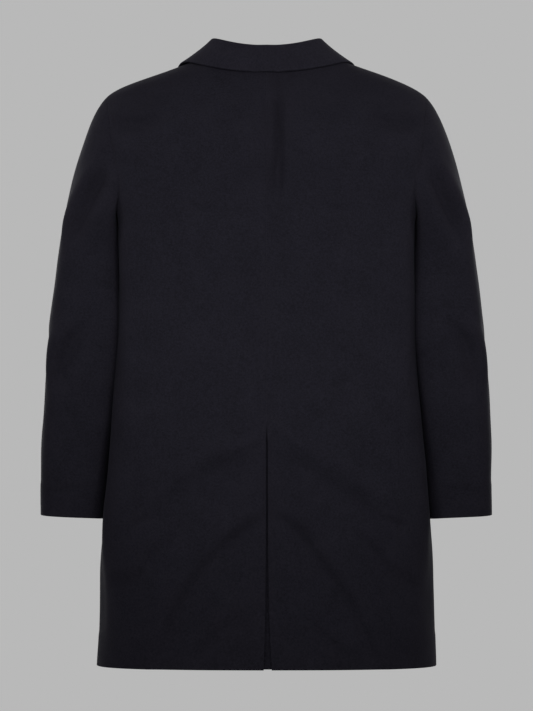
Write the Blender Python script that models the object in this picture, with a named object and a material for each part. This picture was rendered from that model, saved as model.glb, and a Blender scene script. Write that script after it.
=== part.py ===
"""A wool overcoat filled out as if worn: hollow cloth walls, each cut piece its own solid.

Metres, +Z up. +X is the wearer's right, +Y their front, so the back faces -Y. The origin lies midway
between the two points where the shoulder seams meet the collar.
"""

import math
from collections import namedtuple

import bmesh
import bpy
import numpy as np
from mathutils import Vector

# Cloth, seams and layers
CLOTH = 0.0025
COLLAR_CLOTH = 0.003
SEAM_GAP = 0.0003
LAYER_GAP = 0.001
UNDERLAP_GAP = 0.0012
SHARP_ANGLE = math.radians(40)

# Body rings from the hem to the shoulder blades, with half widths and depths to the back and the front.
# "square" fills the corners of a ring and "hollow" presses its sides in where the sleeves hang.
# The last row only makes the body rise straight past the blades.
Ring = namedtuple("Ring", "z half_width back front square hollow")
RINGS = (
    Ring(-0.9165, 0.2537, 0.141, 0.133, 0.16, 0.00),
    Ring(-0.8000, 0.2505, 0.139, 0.131, 0.17, 0.03),
    Ring(-0.6900, 0.2460, 0.136, 0.128, 0.20, 0.08),
    Ring(-0.5600, 0.2335, 0.131, 0.123, 0.23, 0.09),
    Ring(-0.4000, 0.2190, 0.123, 0.118, 0.26, 0.10),
    Ring(-0.2650, 0.2190, 0.129, 0.123, 0.28, 0.10),
    Ring(-0.1700, 0.2535, 0.131, 0.120, 0.25, 0.00),
    Ring(-0.0750, 0.2535, 0.131, 0.120, 0.25, 0.00),
)
# Levels: a whole number is a row of the table, and the last level is the neck seam
HEM, CHEST, BLADE, NECK = 0, 5, 6, 7
HOLLOW_POWER = 16
QUARTER = math.pi / 2

# Shoulders: from the blades' ring up to the neck ring, each profile a rounded corner on a slope
NECK_WIDTH, NECK_BACK, NECK_FRONT = 0.080, 0.061, 0.050
NECK_Z_BACK, NECK_Z_FRONT = -0.017, -0.045
SLOPE_SIDE, SLOPE_BACK, SLOPE_FRONT = 0.36, 1.15, 0.95
CORNER_CENTRE, CORNER_SIDE, CORNER_POWER = 2.5, 8.0, 6
PROFILE_STEPS = 64
SHOULDER_Z = -0.067

# Rows and columns of the panel grids; a panel's columns end at the neck seam or the shoulder seam
LOW_ROWS = 20
NECK_COLUMNS = 4
SHOULDER_COLUMNS = 6
PANEL_COLUMNS = NECK_COLUMNS + SHOULDER_COLUMNS

# Armhole: an egg on the body surface, walked from the shoulder point round the back
ARMHOLE_STEPS = 32
ARMHOLE_BOTTOM = CHEST + 0.05
ARMHOLE_BACK = math.radians(38)
ARMHOLE_FRONT = math.radians(35)
ARMHOLE_FULL = 0.9
BACK_SEAM_STEP = 11
FRONT_SEAM_STEP = 21

# Seams beside the side panels: turn at the hem, easing up to the armhole
BACK_SEAM_TURN = math.radians(40.5)
FRONT_SEAM_TURN = math.radians(114)
SEAM_EASE = 3

# Centre-back vent: each back's share of the narrow slit, then of the flare at the hem
VENT_TOP = -0.547
VENT_SLIT = {1: 0.0016, -1: 0.0012}
VENT_FLARE = {1: 0.0080, -1: 0.0055}
VENT_FLARE_POWER = 5
VENT_SLIT_FROM = 0.12
UNDERLAP_LEVEL = 0.025

# Front edges, roll lines and lapels, in front-view places (x, z) of the wearer's right side
EDGE_PAST_CENTRE = 0.020
BREAK_Z = -0.345
ROLL_TOP = (0.072, -0.004)
LAPEL_PEAK = (0.128, -0.120)
GORGE_Z = -0.062
LAPEL_BELLY = 0.9
LAPEL_ROWS = 14
LAPEL_START = {1: 0.22, -1: 0.05}
LAPEL_CLEAR = 0.010
LEFT_RAISE_FROM = 0.070
LEFT_RAISE_TO = 0.026
LapelStep = namedtuple("LapelStep", "past_edge across height")
LAPEL_PROFILE = (
    LapelStep(0.0000, 0.00, 0.0016),
    LapelStep(0.0008, 0.00, 0.0024),
    LapelStep(0.0006, 0.00, 0.0034),
    LapelStep(0.0000, 0.04, 0.0042),
    LapelStep(0.0000, 0.14, 0.0042),
    LapelStep(0.0000, 0.32, 0.0030),
    LapelStep(0.0000, 0.55, 0.0021),
    LapelStep(0.0000, 0.78, 0.0016),
    LapelStep(0.0000, 1.00, 0.0013),
)

# Collar, centre back to front end: where its edge lies on the body, stand height, inward lean,
# share of the stand's direction taken from the panel below it, and bulge of the fall
CollarStation = namedtuple("CollarStation", "edge_turn edge_level stand lean panel_share bulge")
COLLAR_STATIONS = (
    CollarStation(math.radians(0), 6.900, 0.0222, 0.003, 0.0, 0.002),
    CollarStation(math.radians(42), 6.890, 0.0205, 0.004, 0.0, 0.002),
    CollarStation(math.radians(84), 6.845, 0.0165, 0.003, 0.1, -0.002),
    CollarStation(math.radians(119), 6.705, 0.0080, 0.001, 0.6, 0.004),
    CollarStation(math.radians(137), 6.570, 0.0010, 0.000, 1.0, 0.005),
)
COLLAR_COLUMNS_PER_HALF = 15
COLLAR_STAND_STEPS = 3
COLLAR_TURN_STEPS = 4
COLLAR_FALL_STEPS = 5
COLLAR_FOLD_RADIUS = 0.0018
COLLAR_CLEAR = 0.0015
COLLAR_SEAM = 0.0007
COLLAR_END_GAP = 0.0015
COLLAR_END_FROM = 0.72
COLLAR_END_HEIGHT = 0.003
NOTCH_AT = 0.6

# Sleeve rings, biceps to cuff, on the wearer's right
SleeveRing = namedtuple("SleeveRing", "z_out z_in x_out x_in y_mid half_depth square")
SLEEVE_RINGS = (
    SleeveRing(-0.3180, -0.3000, 0.3148, 0.2160, 0.004, 0.073, 0.18),
    SleeveRing(-0.4000, -0.3950, 0.3237, 0.2150, 0.002, 0.071, 0.22),
    SleeveRing(-0.4900, -0.4900, 0.3318, 0.2230, 0.000, 0.067, 0.22),
    SleeveRing(-0.5900, -0.5920, 0.3372, 0.2350, 0.008, 0.060, 0.20),
    SleeveRing(-0.6915, -0.6970, 0.3386, 0.2460, 0.020, 0.054, 0.16),
)
CAP_ROWS = 8
SLEEVE_ROWS = 11
SLEEVE_SEAM_STEP = 13
CAP_LEAVE_TOP, CAP_LEAVE_UNDER, CAP_LEAVE_SIDE, CAP_LEAVE_BACK = 0.66, 0.20, 0.25, 0.20
CAP_PULL_OUT = 0.6
CAP_PULL_DOWN = 1.0

# Main folds, in back-view places: start, end, half width and depth (a ridge has a negative depth)
Fold = namedtuple("Fold", "x0 z0 x1 z1 half_width depth")
BODY_FOLDS = (
    Fold(-0.040, -0.596, -0.165, -0.674, 0.022, 0.0045),
    Fold(0.036, -0.596, 0.155, -0.674, 0.022, 0.0045),
    Fold(-0.060, -0.705, -0.155, -0.872, 0.026, 0.0050),
    Fold(0.055, -0.705, 0.160, -0.882, 0.026, 0.0050),
    Fold(0.018, -0.075, 0.016, -0.215, 0.020, 0.0030),
)
SLEEVE_FOLDS = (
    Fold(0.248, -0.190, 0.318, -0.300, 0.022, 0.0040),
    Fold(0.262, -0.420, 0.336, -0.505, 0.024, 0.0045),
)

# Buttons on the centre front
BUTTON_HEIGHTS = (-0.374, -0.484, -0.594)
BUTTON_SEGMENTS = 24
BUTTON_SEAT = 0.0005
ButtonRing = namedtuple("ButtonRing", "radius height")
BUTTON_PROFILE = (
    ButtonRing(0.0105, 0.0000),
    ButtonRing(0.0130, 0.0012),
    ButtonRing(0.0130, 0.0032),
    ButtonRing(0.0122, 0.0040),
    ButtonRing(0.0102, 0.0040),
    ButtonRing(0.0090, 0.0033),
)

WOOL_COLOUR = (0.0110, 0.0105, 0.0145, 1.0)
HORN_COLOUR = (0.0120, 0.0110, 0.0120, 1.0)


# Curves and surfaces

def hermite(start, end, start_slope, end_slope, t):
    """Cubic from start to end with the given slopes, t from 0 to 1."""
    t2, t3 = t * t, t * t * t
    return (
        (2 * t3 - 3 * t2 + 1) * start
        + (3 * t2 - 2 * t3) * end
        + (t3 - 2 * t2 + t) * start_slope
        + (t3 - t2) * end_slope
    )


def smooth_rows(table, level):
    """Rows of a table joined by curves that don't overshoot; level 0 is its first row."""
    rows = np.asarray(table, float)
    level = np.asarray(level, float)
    step = np.diff(rows, axis=0)
    slope = np.zeros_like(rows)
    slope[0], slope[-1] = step[0], step[-1]
    product = step[:-1] * step[1:]
    total = step[:-1] + step[1:]
    slope[1:-1] = np.where(product > 0, 2 * product / np.where(total == 0, 1, total), 0)
    index = np.clip(level.astype(int), 0, len(rows) - 2)
    t = (level - index)[..., None]
    return hermite(rows[index], rows[index + 1], slope[index], slope[index + 1], t)


def unit(vectors):
    return vectors / np.maximum(np.linalg.norm(vectors, axis=-1, keepdims=True), 1e-12)


def smoothstep(low, high, value):
    t = np.clip((value - low) / (high - low), 0, 1)
    return t * t * (3 - 2 * t)


def ring_shape(turn, square, hollow):
    """Sideways reach of a ring of unit size at a turn."""
    return np.sin(turn) * (1 + square * np.cos(turn) ** 2 - hollow * np.abs(np.sin(turn)) ** HOLLOW_POWER)


def ring_widest(square, hollow):
    turns = np.linspace(QUARTER / 2, QUARTER, 46)
    return ring_shape(turns, square[..., None], hollow[..., None]).max(axis=-1)


def ring_point(turn, level):
    """Point of the body below the shoulder blades."""
    z, half_width, back, front, square, hollow = np.moveaxis(smooth_rows(RINGS, level), -1, 0)
    x = half_width * ring_shape(turn, square, hollow) / ring_widest(square, hollow)
    y = -np.cos(turn) * (1 + square * np.sin(turn) ** 2) * np.where(np.cos(turn) > 0, back, front)
    return np.stack((x, y, z), axis=-1)


def neck_point(turn):
    behind = np.cos(turn) > 0
    x = NECK_WIDTH * np.sin(turn)
    y = -np.cos(turn) * np.where(behind, NECK_BACK, NECK_FRONT)
    z = np.cos(turn) ** 2 * np.where(behind, NECK_Z_BACK, NECK_Z_FRONT)
    return np.stack((x, y, z), axis=-1)


def shoulder_point(turn, rise):
    """Point between the blades' ring (rise 0) and the neck ring (rise 1), by length along its profile."""
    base, neck = ring_point(turn, np.full(turn.shape, float(BLADE))), neck_point(turn)
    run = np.linalg.norm((base - neck)[..., :2], axis=-1)
    slope_centre = np.where(np.cos(turn) > 0, SLOPE_BACK, SLOPE_FRONT)
    slope = SLOPE_SIDE + (slope_centre - SLOPE_SIDE) * np.cos(turn) ** 2
    corner = CORNER_CENTRE + (CORNER_SIDE - CORNER_CENTRE) * np.abs(np.sin(turn)) ** CORNER_POWER
    drop = neck[..., 2] - slope * run - base[..., 2]

    def profile(walk):
        power = corner[..., None]
        size = (walk**power + (1 - walk) ** power) ** (1 / power)
        reach, height = walk / size, (1 - walk) / size
        return reach, neck[..., 2:] - (slope * run)[..., None] * reach - drop[..., None] * (1 - height)

    walks = np.broadcast_to(np.linspace(1, 0, PROFILE_STEPS + 1), turn.shape + (PROFILE_STEPS + 1,))
    reach, z = profile(walks)
    lengths = np.hypot(np.diff(reach, axis=-1) * run[..., None], np.diff(z, axis=-1))
    walked = np.concatenate((np.zeros(turn.shape + (1,)), np.cumsum(lengths, axis=-1)), axis=-1)
    target = np.clip(rise, 0, 1)[..., None] * walked[..., -1:]
    index = np.clip(np.sum(walked <= target, axis=-1, keepdims=True) - 1, 0, PROFILE_STEPS - 1)
    before = np.take_along_axis(walked, index, axis=-1)
    part = (target - before) / np.take_along_axis(lengths, index, axis=-1)
    reach, z = profile(np.clip(1 - (index + part) / PROFILE_STEPS, 0, 1))
    return np.concatenate((neck[..., :2] + (base - neck)[..., :2] * reach, z), axis=-1)


def body_point(turn, level):
    """Point of the smooth body surface; turn 0 is the centre back and pi the centre front."""
    turn, level = np.broadcast_arrays(np.asarray(turn, float), np.asarray(level, float))
    low = ring_point(turn, np.minimum(level, BLADE))
    return np.where((level < BLADE)[..., None], low, shoulder_point(turn, level - BLADE))


def shoulder_level():
    """Level at which the shoulder line reaches the armhole."""
    levels = np.linspace(BLADE, NECK, 400)
    return float(np.interp(SHOULDER_Z, body_point(QUARTER, levels)[:, 2], levels))


SHOULDER_LEVEL = shoulder_level()


def body_normal(turn, level):
    small = 1e-3
    along = body_point(turn + small, level) - body_point(turn - small, level)
    up = body_point(turn, np.minimum(level + small, NECK)) - body_point(turn, np.maximum(level - small, HEM))
    return unit(np.cross(along, up))


def fold_depth(x, z, folds):
    """Depth of the folds at back-view places, fading out at both ends of each."""
    depth = np.zeros_like(x)
    for x0, z0, x1, z1, half_width, deep in folds:
        length = math.hypot(x1 - x0, z1 - z0)
        ux, uz = (x1 - x0) / length, (z1 - z0) / length
        along = ((x - x0) * ux + (z - z0) * uz) / length
        across = (x - x0) * uz - (z - z0) * ux
        fade = smoothstep(-0.25, 0.2, along) * (1 - smoothstep(0.75, 1.25, along))
        depth += deep * fade * np.exp(-((across / half_width) ** 2))
    return depth


def coat_surface(turn, level, side):
    """Outer face of the body cloth and its normal, for the wearer's right (side 1) or left (side -1)."""
    point, normal = body_point(turn, level), body_normal(turn, level)
    x, y, z = np.moveaxis(point, -1, 0)
    depth = fold_depth(side * x, z, BODY_FOLDS) * smoothstep(0.0, 0.06, -y)
    if side < 0:
        over_right = 1 - smoothstep(LEFT_RAISE_TO, LEFT_RAISE_FROM, x)
        depth = depth - (CLOTH + LAYER_GAP) * over_right * smoothstep(0.0, 0.06, y)
    mirror = np.array((side, 1.0, 1.0))
    return (point - normal * depth[..., None]) * mirror, normal * mirror


# Closed walls

def seam_inset(grid):
    """The grid with each border moved half a seam gap towards its inside."""
    grid = np.array(grid)
    for axis in (0, 1):
        rows = np.moveaxis(grid, axis, 0)
        first = rows[0] + unit(rows[1] - rows[0]) * SEAM_GAP / 2
        last = rows[-1] + unit(rows[-2] - rows[-1]) * SEAM_GAP / 2
        rows[0], rows[-1] = first, last
    return grid


def new_object(name, mesh, material, parent):
    mesh.materials.append(material)
    mesh.shade_smooth()
    mesh.set_sharp_from_angle(angle=SHARP_ANGLE)
    thing = bpy.data.objects.new(name, mesh)
    bpy.context.scene.collection.objects.link(thing)
    thing.parent = parent
    return thing


def wall(name, face, inner, material, parent):
    """A closed wall between two grids of points with the same rows and columns."""
    rows, columns = face.shape[:2]
    bm = bmesh.new()
    sheets = [
        [[bm.verts.new(sheet[i, j]) for j in range(columns)] for i in range(rows)] for sheet in (face, inner)
    ]
    for sheet in sheets:
        for i in range(rows - 1):
            for j in range(columns - 1):
                bm.faces.new((sheet[i][j], sheet[i][j + 1], sheet[i + 1][j + 1], sheet[i + 1][j]))
    rim = [(i, 0) for i in range(rows)]
    rim += [(rows - 1, j) for j in range(1, columns)]
    rim += [(i, columns - 1) for i in range(rows - 2, -1, -1)]
    rim += [(0, j) for j in range(columns - 2, 0, -1)]
    for (i0, j0), (i1, j1) in zip(rim, rim[1:] + rim[:1]):
        bm.faces.new((sheets[0][i0][j0], sheets[0][i1][j1], sheets[1][i1][j1], sheets[1][i0][j0]))
    bmesh.ops.recalc_face_normals(bm, faces=bm.faces)
    mesh = bpy.data.meshes.new(name)
    bm.to_mesh(mesh)
    bm.free()
    return new_object(name, mesh, material, parent)


def body_panel(name, turn, level, side, material, parent):
    face, normal = coat_surface(turn, level, side)
    wall(name, seam_inset(face), seam_inset(face - normal * CLOTH), material, parent)


# Armhole and the seams beside the side panels

def armhole(step):
    """Turn and level of the armhole at a step round it, 0 at the shoulder point, then the back."""
    around = np.asarray(step, float) * 2 * math.pi / ARMHOLE_STEPS
    rise = 0.5 + 0.5 * np.cos(around)
    widest = np.where(np.sin(around) > 0, ARMHOLE_BACK, -ARMHOLE_FRONT)
    reach = widest * np.abs(np.sin(around)) ** ARMHOLE_FULL
    return QUARTER - reach, ARMHOLE_BOTTOM + (SHOULDER_LEVEL - ARMHOLE_BOTTOM) * rise


def low_rows():
    return np.linspace(0, 1, LOW_ROWS + 1)


def seam_turn(low_turn, step, rise):
    return low_turn + (armhole(step)[0] - low_turn) * rise**SEAM_EASE


def low_grid(inner_edge, low_turn, seam_step):
    """Turns and levels of a back or front panel below its armhole, inner edge first."""
    rise = low_rows()
    level = rise * armhole(seam_step)[1]
    inner, outer = inner_edge(level), seam_turn(low_turn, seam_step, rise)
    share = np.linspace(0, 1, PANEL_COLUMNS + 1)
    turn = inner[:, None] + (outer - inner)[:, None] * share
    return np.stack((turn, level[:, None] + 0 * turn), axis=-1)


def panel_grid(inner_edge, low_turn, seam_step, shoulder_step):
    """The whole panel: its low grid, then a patch between armhole, shoulder seam, neck and inner edge."""
    low = low_grid(inner_edge, low_turn, seam_step)
    rows = abs(shoulder_step - seam_step)
    inner_level = np.linspace(low[-1, 0, 1], NECK, rows + 1)
    inner = np.stack((inner_edge(inner_level), inner_level), axis=-1)
    outer = np.stack(armhole(np.linspace(seam_step, shoulder_step, rows + 1)), axis=-1)
    neck_turn = np.linspace(inner[-1, 0], QUARTER, NECK_COLUMNS + 1)
    shoulder = np.linspace(NECK, SHOULDER_LEVEL, SHOULDER_COLUMNS + 1)[1:]
    top = np.stack(
        (
            np.concatenate((neck_turn, np.full(SHOULDER_COLUMNS, QUARTER))),
            np.concatenate((np.full(NECK_COLUMNS + 1, float(NECK)), shoulder)),
        ),
        axis=-1,
    )
    patch = filled_patch(low[-1], top, inner, outer)
    grid = np.concatenate((low, patch[1:]))
    return grid[..., 0], grid[..., 1]


def filled_patch(bottom, top, first, last):
    """Points inside four border rows of points, blended from the borders."""
    across = np.linspace(0, 1, len(bottom))[None, :, None]
    up = np.linspace(0, 1, len(first))[:, None, None]
    sides = (1 - across) * first[:, None] + across * last[:, None]
    ends = (1 - up) * bottom[None] + up * top[None]
    low_corners = (1 - across) * bottom[0] + across * bottom[-1]
    high_corners = (1 - across) * top[0] + across * top[-1]
    return sides + ends - (1 - up) * low_corners - up * high_corners


# Pieces of the body

def turn_of_x(x, level):
    """Turn near the centre back at which the body surface reaches x."""
    return x / (body_point(0.01, level)[..., 0] / 0.01)


def centre_back(side):
    """Turn of a back panel's centre edge as a function of level, opening below the vent's top."""
    def edge(level):
        z = body_point(0.0, level)[..., 2]
        down = np.clip((VENT_TOP - z) / (VENT_TOP - RINGS[HEM].z), 0, 1)
        slit, flare = VENT_SLIT[side], VENT_FLARE[side]
        opening = slit * smoothstep(0, VENT_SLIT_FROM, down) + (flare - slit) * down**VENT_FLARE_POWER
        return turn_of_x(opening, level)

    return edge


def back_panel(name, side, material, parent):
    turn, level = panel_grid(centre_back(side), BACK_SEAM_TURN, BACK_SEAM_STEP, 0)
    body_panel(name, turn, level, side, material, parent)


def vent_underlap(name, material, parent):
    """A strip behind both edges of the vent: the back panels' first columns, moved inwards."""
    right = low_grid(centre_back(1), BACK_SEAM_TURN, BACK_SEAM_STEP)[:, :2]
    left = low_grid(centre_back(-1), BACK_SEAM_TURN, BACK_SEAM_STEP)[:, 1::-1] * (-1, 1)
    grid = np.concatenate((left, right), axis=1)
    grid = grid[body_point(0.0, grid[:, 0, 1])[:, 2] < VENT_TOP]
    grid[0, :, 1] = UNDERLAP_LEVEL
    turn, level = grid[..., 0], grid[..., 1]
    face, normal = coat_surface(turn, level, 1)
    face = face - normal * (CLOTH + UNDERLAP_GAP)
    wall(name, face, face - normal * CLOTH, material, parent)


def side_panel(name, side, material, parent):
    steps = np.arange(BACK_SEAM_STEP, FRONT_SEAM_STEP + 1)
    low_turn = np.linspace(BACK_SEAM_TURN, FRONT_SEAM_TURN, len(steps))
    rise = low_rows()[:, None]
    turn = seam_turn(low_turn, steps, rise)
    body_panel(name, turn, rise * armhole(steps)[1], side, material, parent)


def front_edge_x(z):
    """Front-view place of the front edge, then of the roll line above the break."""
    top_x, top_z = ROLL_TOP
    share = np.clip((z - BREAK_Z) / (top_z - BREAK_Z), 0, None)
    return -EDGE_PAST_CENTRE + share * (top_x + EDGE_PAST_CENTRE)


def front_edge_turn(level):
    low = np.full_like(level, QUARTER)
    high = np.full_like(level, math.pi + 0.3)
    for _ in range(50):
        middle = (low + high) / 2
        point = body_point(middle, level)
        outside = point[..., 0] > front_edge_x(point[..., 2])
        low = np.where(outside, middle, low)
        high = np.where(outside, high, middle)
    return middle


def front_panel(name, side, material, parent):
    turn, level = panel_grid(front_edge_turn, FRONT_SEAM_TURN, FRONT_SEAM_STEP, ARMHOLE_STEPS)
    body_panel(name, turn, level, side, material, parent)


def locate_front(x, z):
    """Turn and level of the front surface at front-view places."""
    turn = math.pi - np.arcsin(np.clip(x / 0.24, -0.9, 0.9))
    level = np.minimum(np.interp(z, [ring.z for ring in RINGS], range(len(RINGS))), BLADE + 0.5)
    small = 1e-4
    for _ in range(20):
        here = body_point(turn, level)
        by_turn = (body_point(turn + small, level) - here) / small
        by_level = (body_point(turn, level + small) - here) / small
        miss_x, miss_z = x - here[..., 0], z - here[..., 2]
        area = by_turn[..., 0] * by_level[..., 2] - by_turn[..., 2] * by_level[..., 0]
        turn = turn + np.clip((miss_x * by_level[..., 2] - miss_z * by_level[..., 0]) / area, -0.1, 0.1)
        level = level + np.clip((by_turn[..., 0] * miss_z - by_turn[..., 2] * miss_x) / area, -0.1, 0.1)
        turn = np.clip(turn, QUARTER, math.pi + 0.4)
        level = np.clip(level, HEM + small, NECK - 10 * small)
    return turn, level


def lapel(name, side, material, parent):
    """A front's edge turned back along the roll line and lying on the panel."""
    rise = np.linspace(LAPEL_START[side], 1, LAPEL_ROWS + 1)
    inner_z = BREAK_Z + (GORGE_Z - BREAK_Z) * rise
    inner_x = front_edge_x(inner_z)
    if side > 0:
        inner_x = np.maximum(inner_x, LAPEL_CLEAR - inner_x)
    peak_x, peak_z = LAPEL_PEAK
    outer_x = -EDGE_PAST_CENTRE + (peak_x + EDGE_PAST_CENTRE) * rise**LAPEL_BELLY
    outer_z = BREAK_Z + (peak_z - BREAK_Z) * rise
    past, across, height = np.array(LAPEL_PROFILE).T
    x = inner_x[:, None] + (outer_x - inner_x)[:, None] * across
    z = inner_z[:, None] + (outer_z - inner_z)[:, None] * across
    turn, level = locate_front(x, z)
    face, normal = coat_surface(turn, level, side)
    to_opening = unit(face[:, 0] - face[:, -1])[:, None]
    face = face + normal * height[:, None] + to_opening * past[:, None]
    wall(name, face, face + grid_normal(face, normal[:, -1:]) * CLOTH, material, parent)


def grid_normal(grid, towards):
    """Unit normals of a grid of points, on the side that its last column's direction points to."""
    normal = unit(np.cross(np.gradient(grid, axis=0), np.gradient(grid, axis=1)))
    same = np.sum(normal[:, -1:] * towards, axis=(0, 1, 2)) > 0
    return normal if same else -normal


# Collar

def neck_path(share):
    """Turns and levels down the neck seam and roll line, from the centre back to the front end."""
    ring = np.linspace(0, front_edge_turn(np.array([float(NECK)]))[0], 200)
    levels = np.linspace(NECK, BLADE, 400)
    turn = np.concatenate((ring, front_edge_turn(levels)[1:]))
    level = np.concatenate((np.full(len(ring), float(NECK)), levels[1:]))
    points = body_point(turn, level)
    last = int(np.argmax((points[:, 2] < GORGE_Z) & (np.arange(len(turn)) >= len(ring)))) + 1
    walked = np.concatenate(((0,), np.cumsum(np.linalg.norm(np.diff(points[:last], axis=0), axis=1))))
    at = np.asarray(share) * (walked[-1] - COLLAR_END_GAP)
    return np.interp(at, walked, turn[:last]), np.interp(at, walked, level[:last])


def collar_section(share):
    """The collar's underside on the wearer's right: rows along the neck, columns over the fold."""
    columns = np.moveaxis(smooth_rows(COLLAR_STATIONS, share * (len(COLLAR_STATIONS) - 1)), -1, 0)
    edge_turn, edge_level, stand, lean, panel_share, bulge = (column[:, None] for column in columns)
    turn, level = neck_path(share)
    seam, panel_normal = coat_surface(turn, level, 1)
    edge, edge_normal = coat_surface(edge_turn[:, 0], edge_level[:, 0], 1)
    edge = edge + edge_normal * COLLAR_CLEAR
    level_out = unit(panel_normal * (1, 1, 0))
    upright = unit(np.array((0, 0, 1.0)) - level_out * lean / np.maximum(stand, lean + 1e-6))
    rising = unit(upright * (1 - panel_share) + panel_normal * panel_share)
    seam = seam + rising * COLLAR_SEAM
    fold = seam + rising * stand
    reach = edge - fold
    outwards = unit(reach - rising * np.sum(reach * rising, axis=1, keepdims=True))
    drop = np.arctan2(-np.sum(reach * rising, axis=1), np.sum(reach * outwards, axis=1))
    rows = [seam + rising * stand * part for part in np.linspace(0, 1, COLLAR_STAND_STEPS + 1)]
    for part in np.linspace(0, 1, COLLAR_TURN_STEPS + 1)[1:]:
        angle = (part * (QUARTER + drop))[:, None]
        rows.append(fold + COLLAR_FOLD_RADIUS * (outwards * (1 - np.cos(angle)) + rising * np.sin(angle)))
    top = rows[-1]
    up = unit(np.cross(np.gradient(edge, axis=0), edge - top))
    up = up * np.sign(np.sum(up * edge_normal, axis=1, keepdims=True))
    at_end = smoothstep(COLLAR_END_FROM, 1, share)[:, None]
    for part in np.linspace(0, 1, COLLAR_FALL_STEPS + 1)[1:]:
        straight = top + (edge - top) * part + up * bulge * 4 * part * (1 - part)
        rows.append(straight + at_end * (collar_end(part) - straight[-1]))
    return np.stack(rows, axis=1)


def collar_end(part):
    """The collar's front end: along the lapel's top edge to the notch, then out to its tip."""
    gorge = np.array((front_edge_x(np.array(GORGE_Z)), GORGE_Z))
    notch = gorge + (np.array(LAPEL_PEAK) - gorge) * NOTCH_AT
    tip = body_point(*COLLAR_STATIONS[-1][:2])[[0, 2]]
    if part > NOTCH_AT:
        place = notch + (tip - notch) * (part - NOTCH_AT) / (1 - NOTCH_AT)
    else:
        place = gorge + (notch - gorge) * part / NOTCH_AT
    face, normal = coat_surface(*locate_front(place[0], place[1] + COLLAR_END_GAP), 1)
    return face + normal * COLLAR_END_HEIGHT


def collar(name, material, parent):
    share = np.linspace(0, 1, COLLAR_COLUMNS_PER_HALF + 1)
    right = collar_section(share)
    left = right[:0:-1] * (-1, 1, 1)
    grid = np.concatenate((left, right))
    normal = grid_normal(grid, np.array((0.0, 0.0, 1.0)))
    wall(name, grid, grid + normal * COLLAR_CLOTH, material, parent)


# Sleeves

def sleeve_ring(around, level):
    z_out, z_in, x_out, x_in, y_mid, half_depth, square = np.moveaxis(smooth_rows(SLEEVE_RINGS, level), -1, 0)
    outer = 0.5 + 0.5 * np.cos(around)
    x = (x_out + x_in) / 2 + (x_out - x_in) / 2 * np.cos(around) * (1 + square * np.sin(around) ** 2)
    y = y_mid - half_depth * np.sin(around) * (1 + square * np.cos(around) ** 2)
    return np.stack((x, y, z_in + (z_out - z_in) * outer), axis=-1)


def sleeve_cap(around, share):
    """The sleeve from the armhole to its biceps ring, leaving the shoulder outwards and down."""
    turn, level = armhole(around / (2 * math.pi) * ARMHOLE_STEPS)
    start = body_point(turn, level)
    normal = body_normal(turn, level)
    end = sleeve_ring(around, 0 * around)
    small = 1e-3
    down = unit(sleeve_ring(around, 0 * around + small) - end)
    top = 0.5 + 0.5 * np.cos(around)
    x = CAP_LEAVE_UNDER + (CAP_LEAVE_TOP - CAP_LEAVE_UNDER) * top + CAP_LEAVE_SIDE * np.sin(around) ** 2
    y = -CAP_LEAVE_BACK * np.sin(around)
    leaving = np.stack((x, y, -np.sqrt(1 - x * x - y * y)), axis=-1)
    start = start + unit(leaving + normal) * SEAM_GAP
    length = np.linalg.norm(end - start, axis=-1, keepdims=True)
    out, in_line = leaving * length * CAP_PULL_OUT, down * length * CAP_PULL_DOWN
    return hermite(start, end, out, in_line, share[..., None])


def sleeve_point(around, along):
    """Sleeve surface: along 0 to 1 over the cap, then one unit for each ring below."""
    around, along = np.broadcast_arrays(np.asarray(around, float), np.asarray(along, float))
    cap = sleeve_cap(around, np.clip(along, 0, 1))
    arm = sleeve_ring(around, np.clip(along - 1, 0, len(SLEEVE_RINGS) - 1))
    return np.where((along < 1)[..., None], cap, arm)


def sleeve_surface(around, along, side):
    small = 1e-3
    point = sleeve_point(around, along)
    last = len(SLEEVE_RINGS)
    round_it = sleeve_point(around + small, along) - sleeve_point(around - small, along)
    below, above = np.minimum(along + small, last), np.maximum(along - small, 0)
    down = sleeve_point(around, below) - sleeve_point(around, above)
    normal = unit(np.cross(round_it, down))
    mirror = np.array((side, 1.0, 1.0))
    depth = fold_depth(point[..., 0], point[..., 2], SLEEVE_FOLDS) * smoothstep(-0.02, 0.03, -point[..., 1])
    return (point - normal * depth[..., None]) * mirror, normal * mirror


def sleeve_piece(name, side, first_step, last_step, material, parent):
    steps = np.arange(first_step, last_step + 1)
    around = steps * 2 * math.pi / ARMHOLE_STEPS
    along = np.concatenate(
        (np.linspace(0, 1, CAP_ROWS + 1), np.linspace(1, len(SLEEVE_RINGS), SLEEVE_ROWS + 1)[1:])
    )
    face, normal = sleeve_surface(around[None, :], along[:, None], side)
    inner = face - normal * CLOTH
    for grid in (face, inner):
        grid[:, 0] += unit(grid[:, 1] - grid[:, 0]) * SEAM_GAP / 2
        grid[:, -1] += unit(grid[:, -2] - grid[:, -1]) * SEAM_GAP / 2
    wall(name, face, inner, material, parent)


# Buttons

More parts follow.
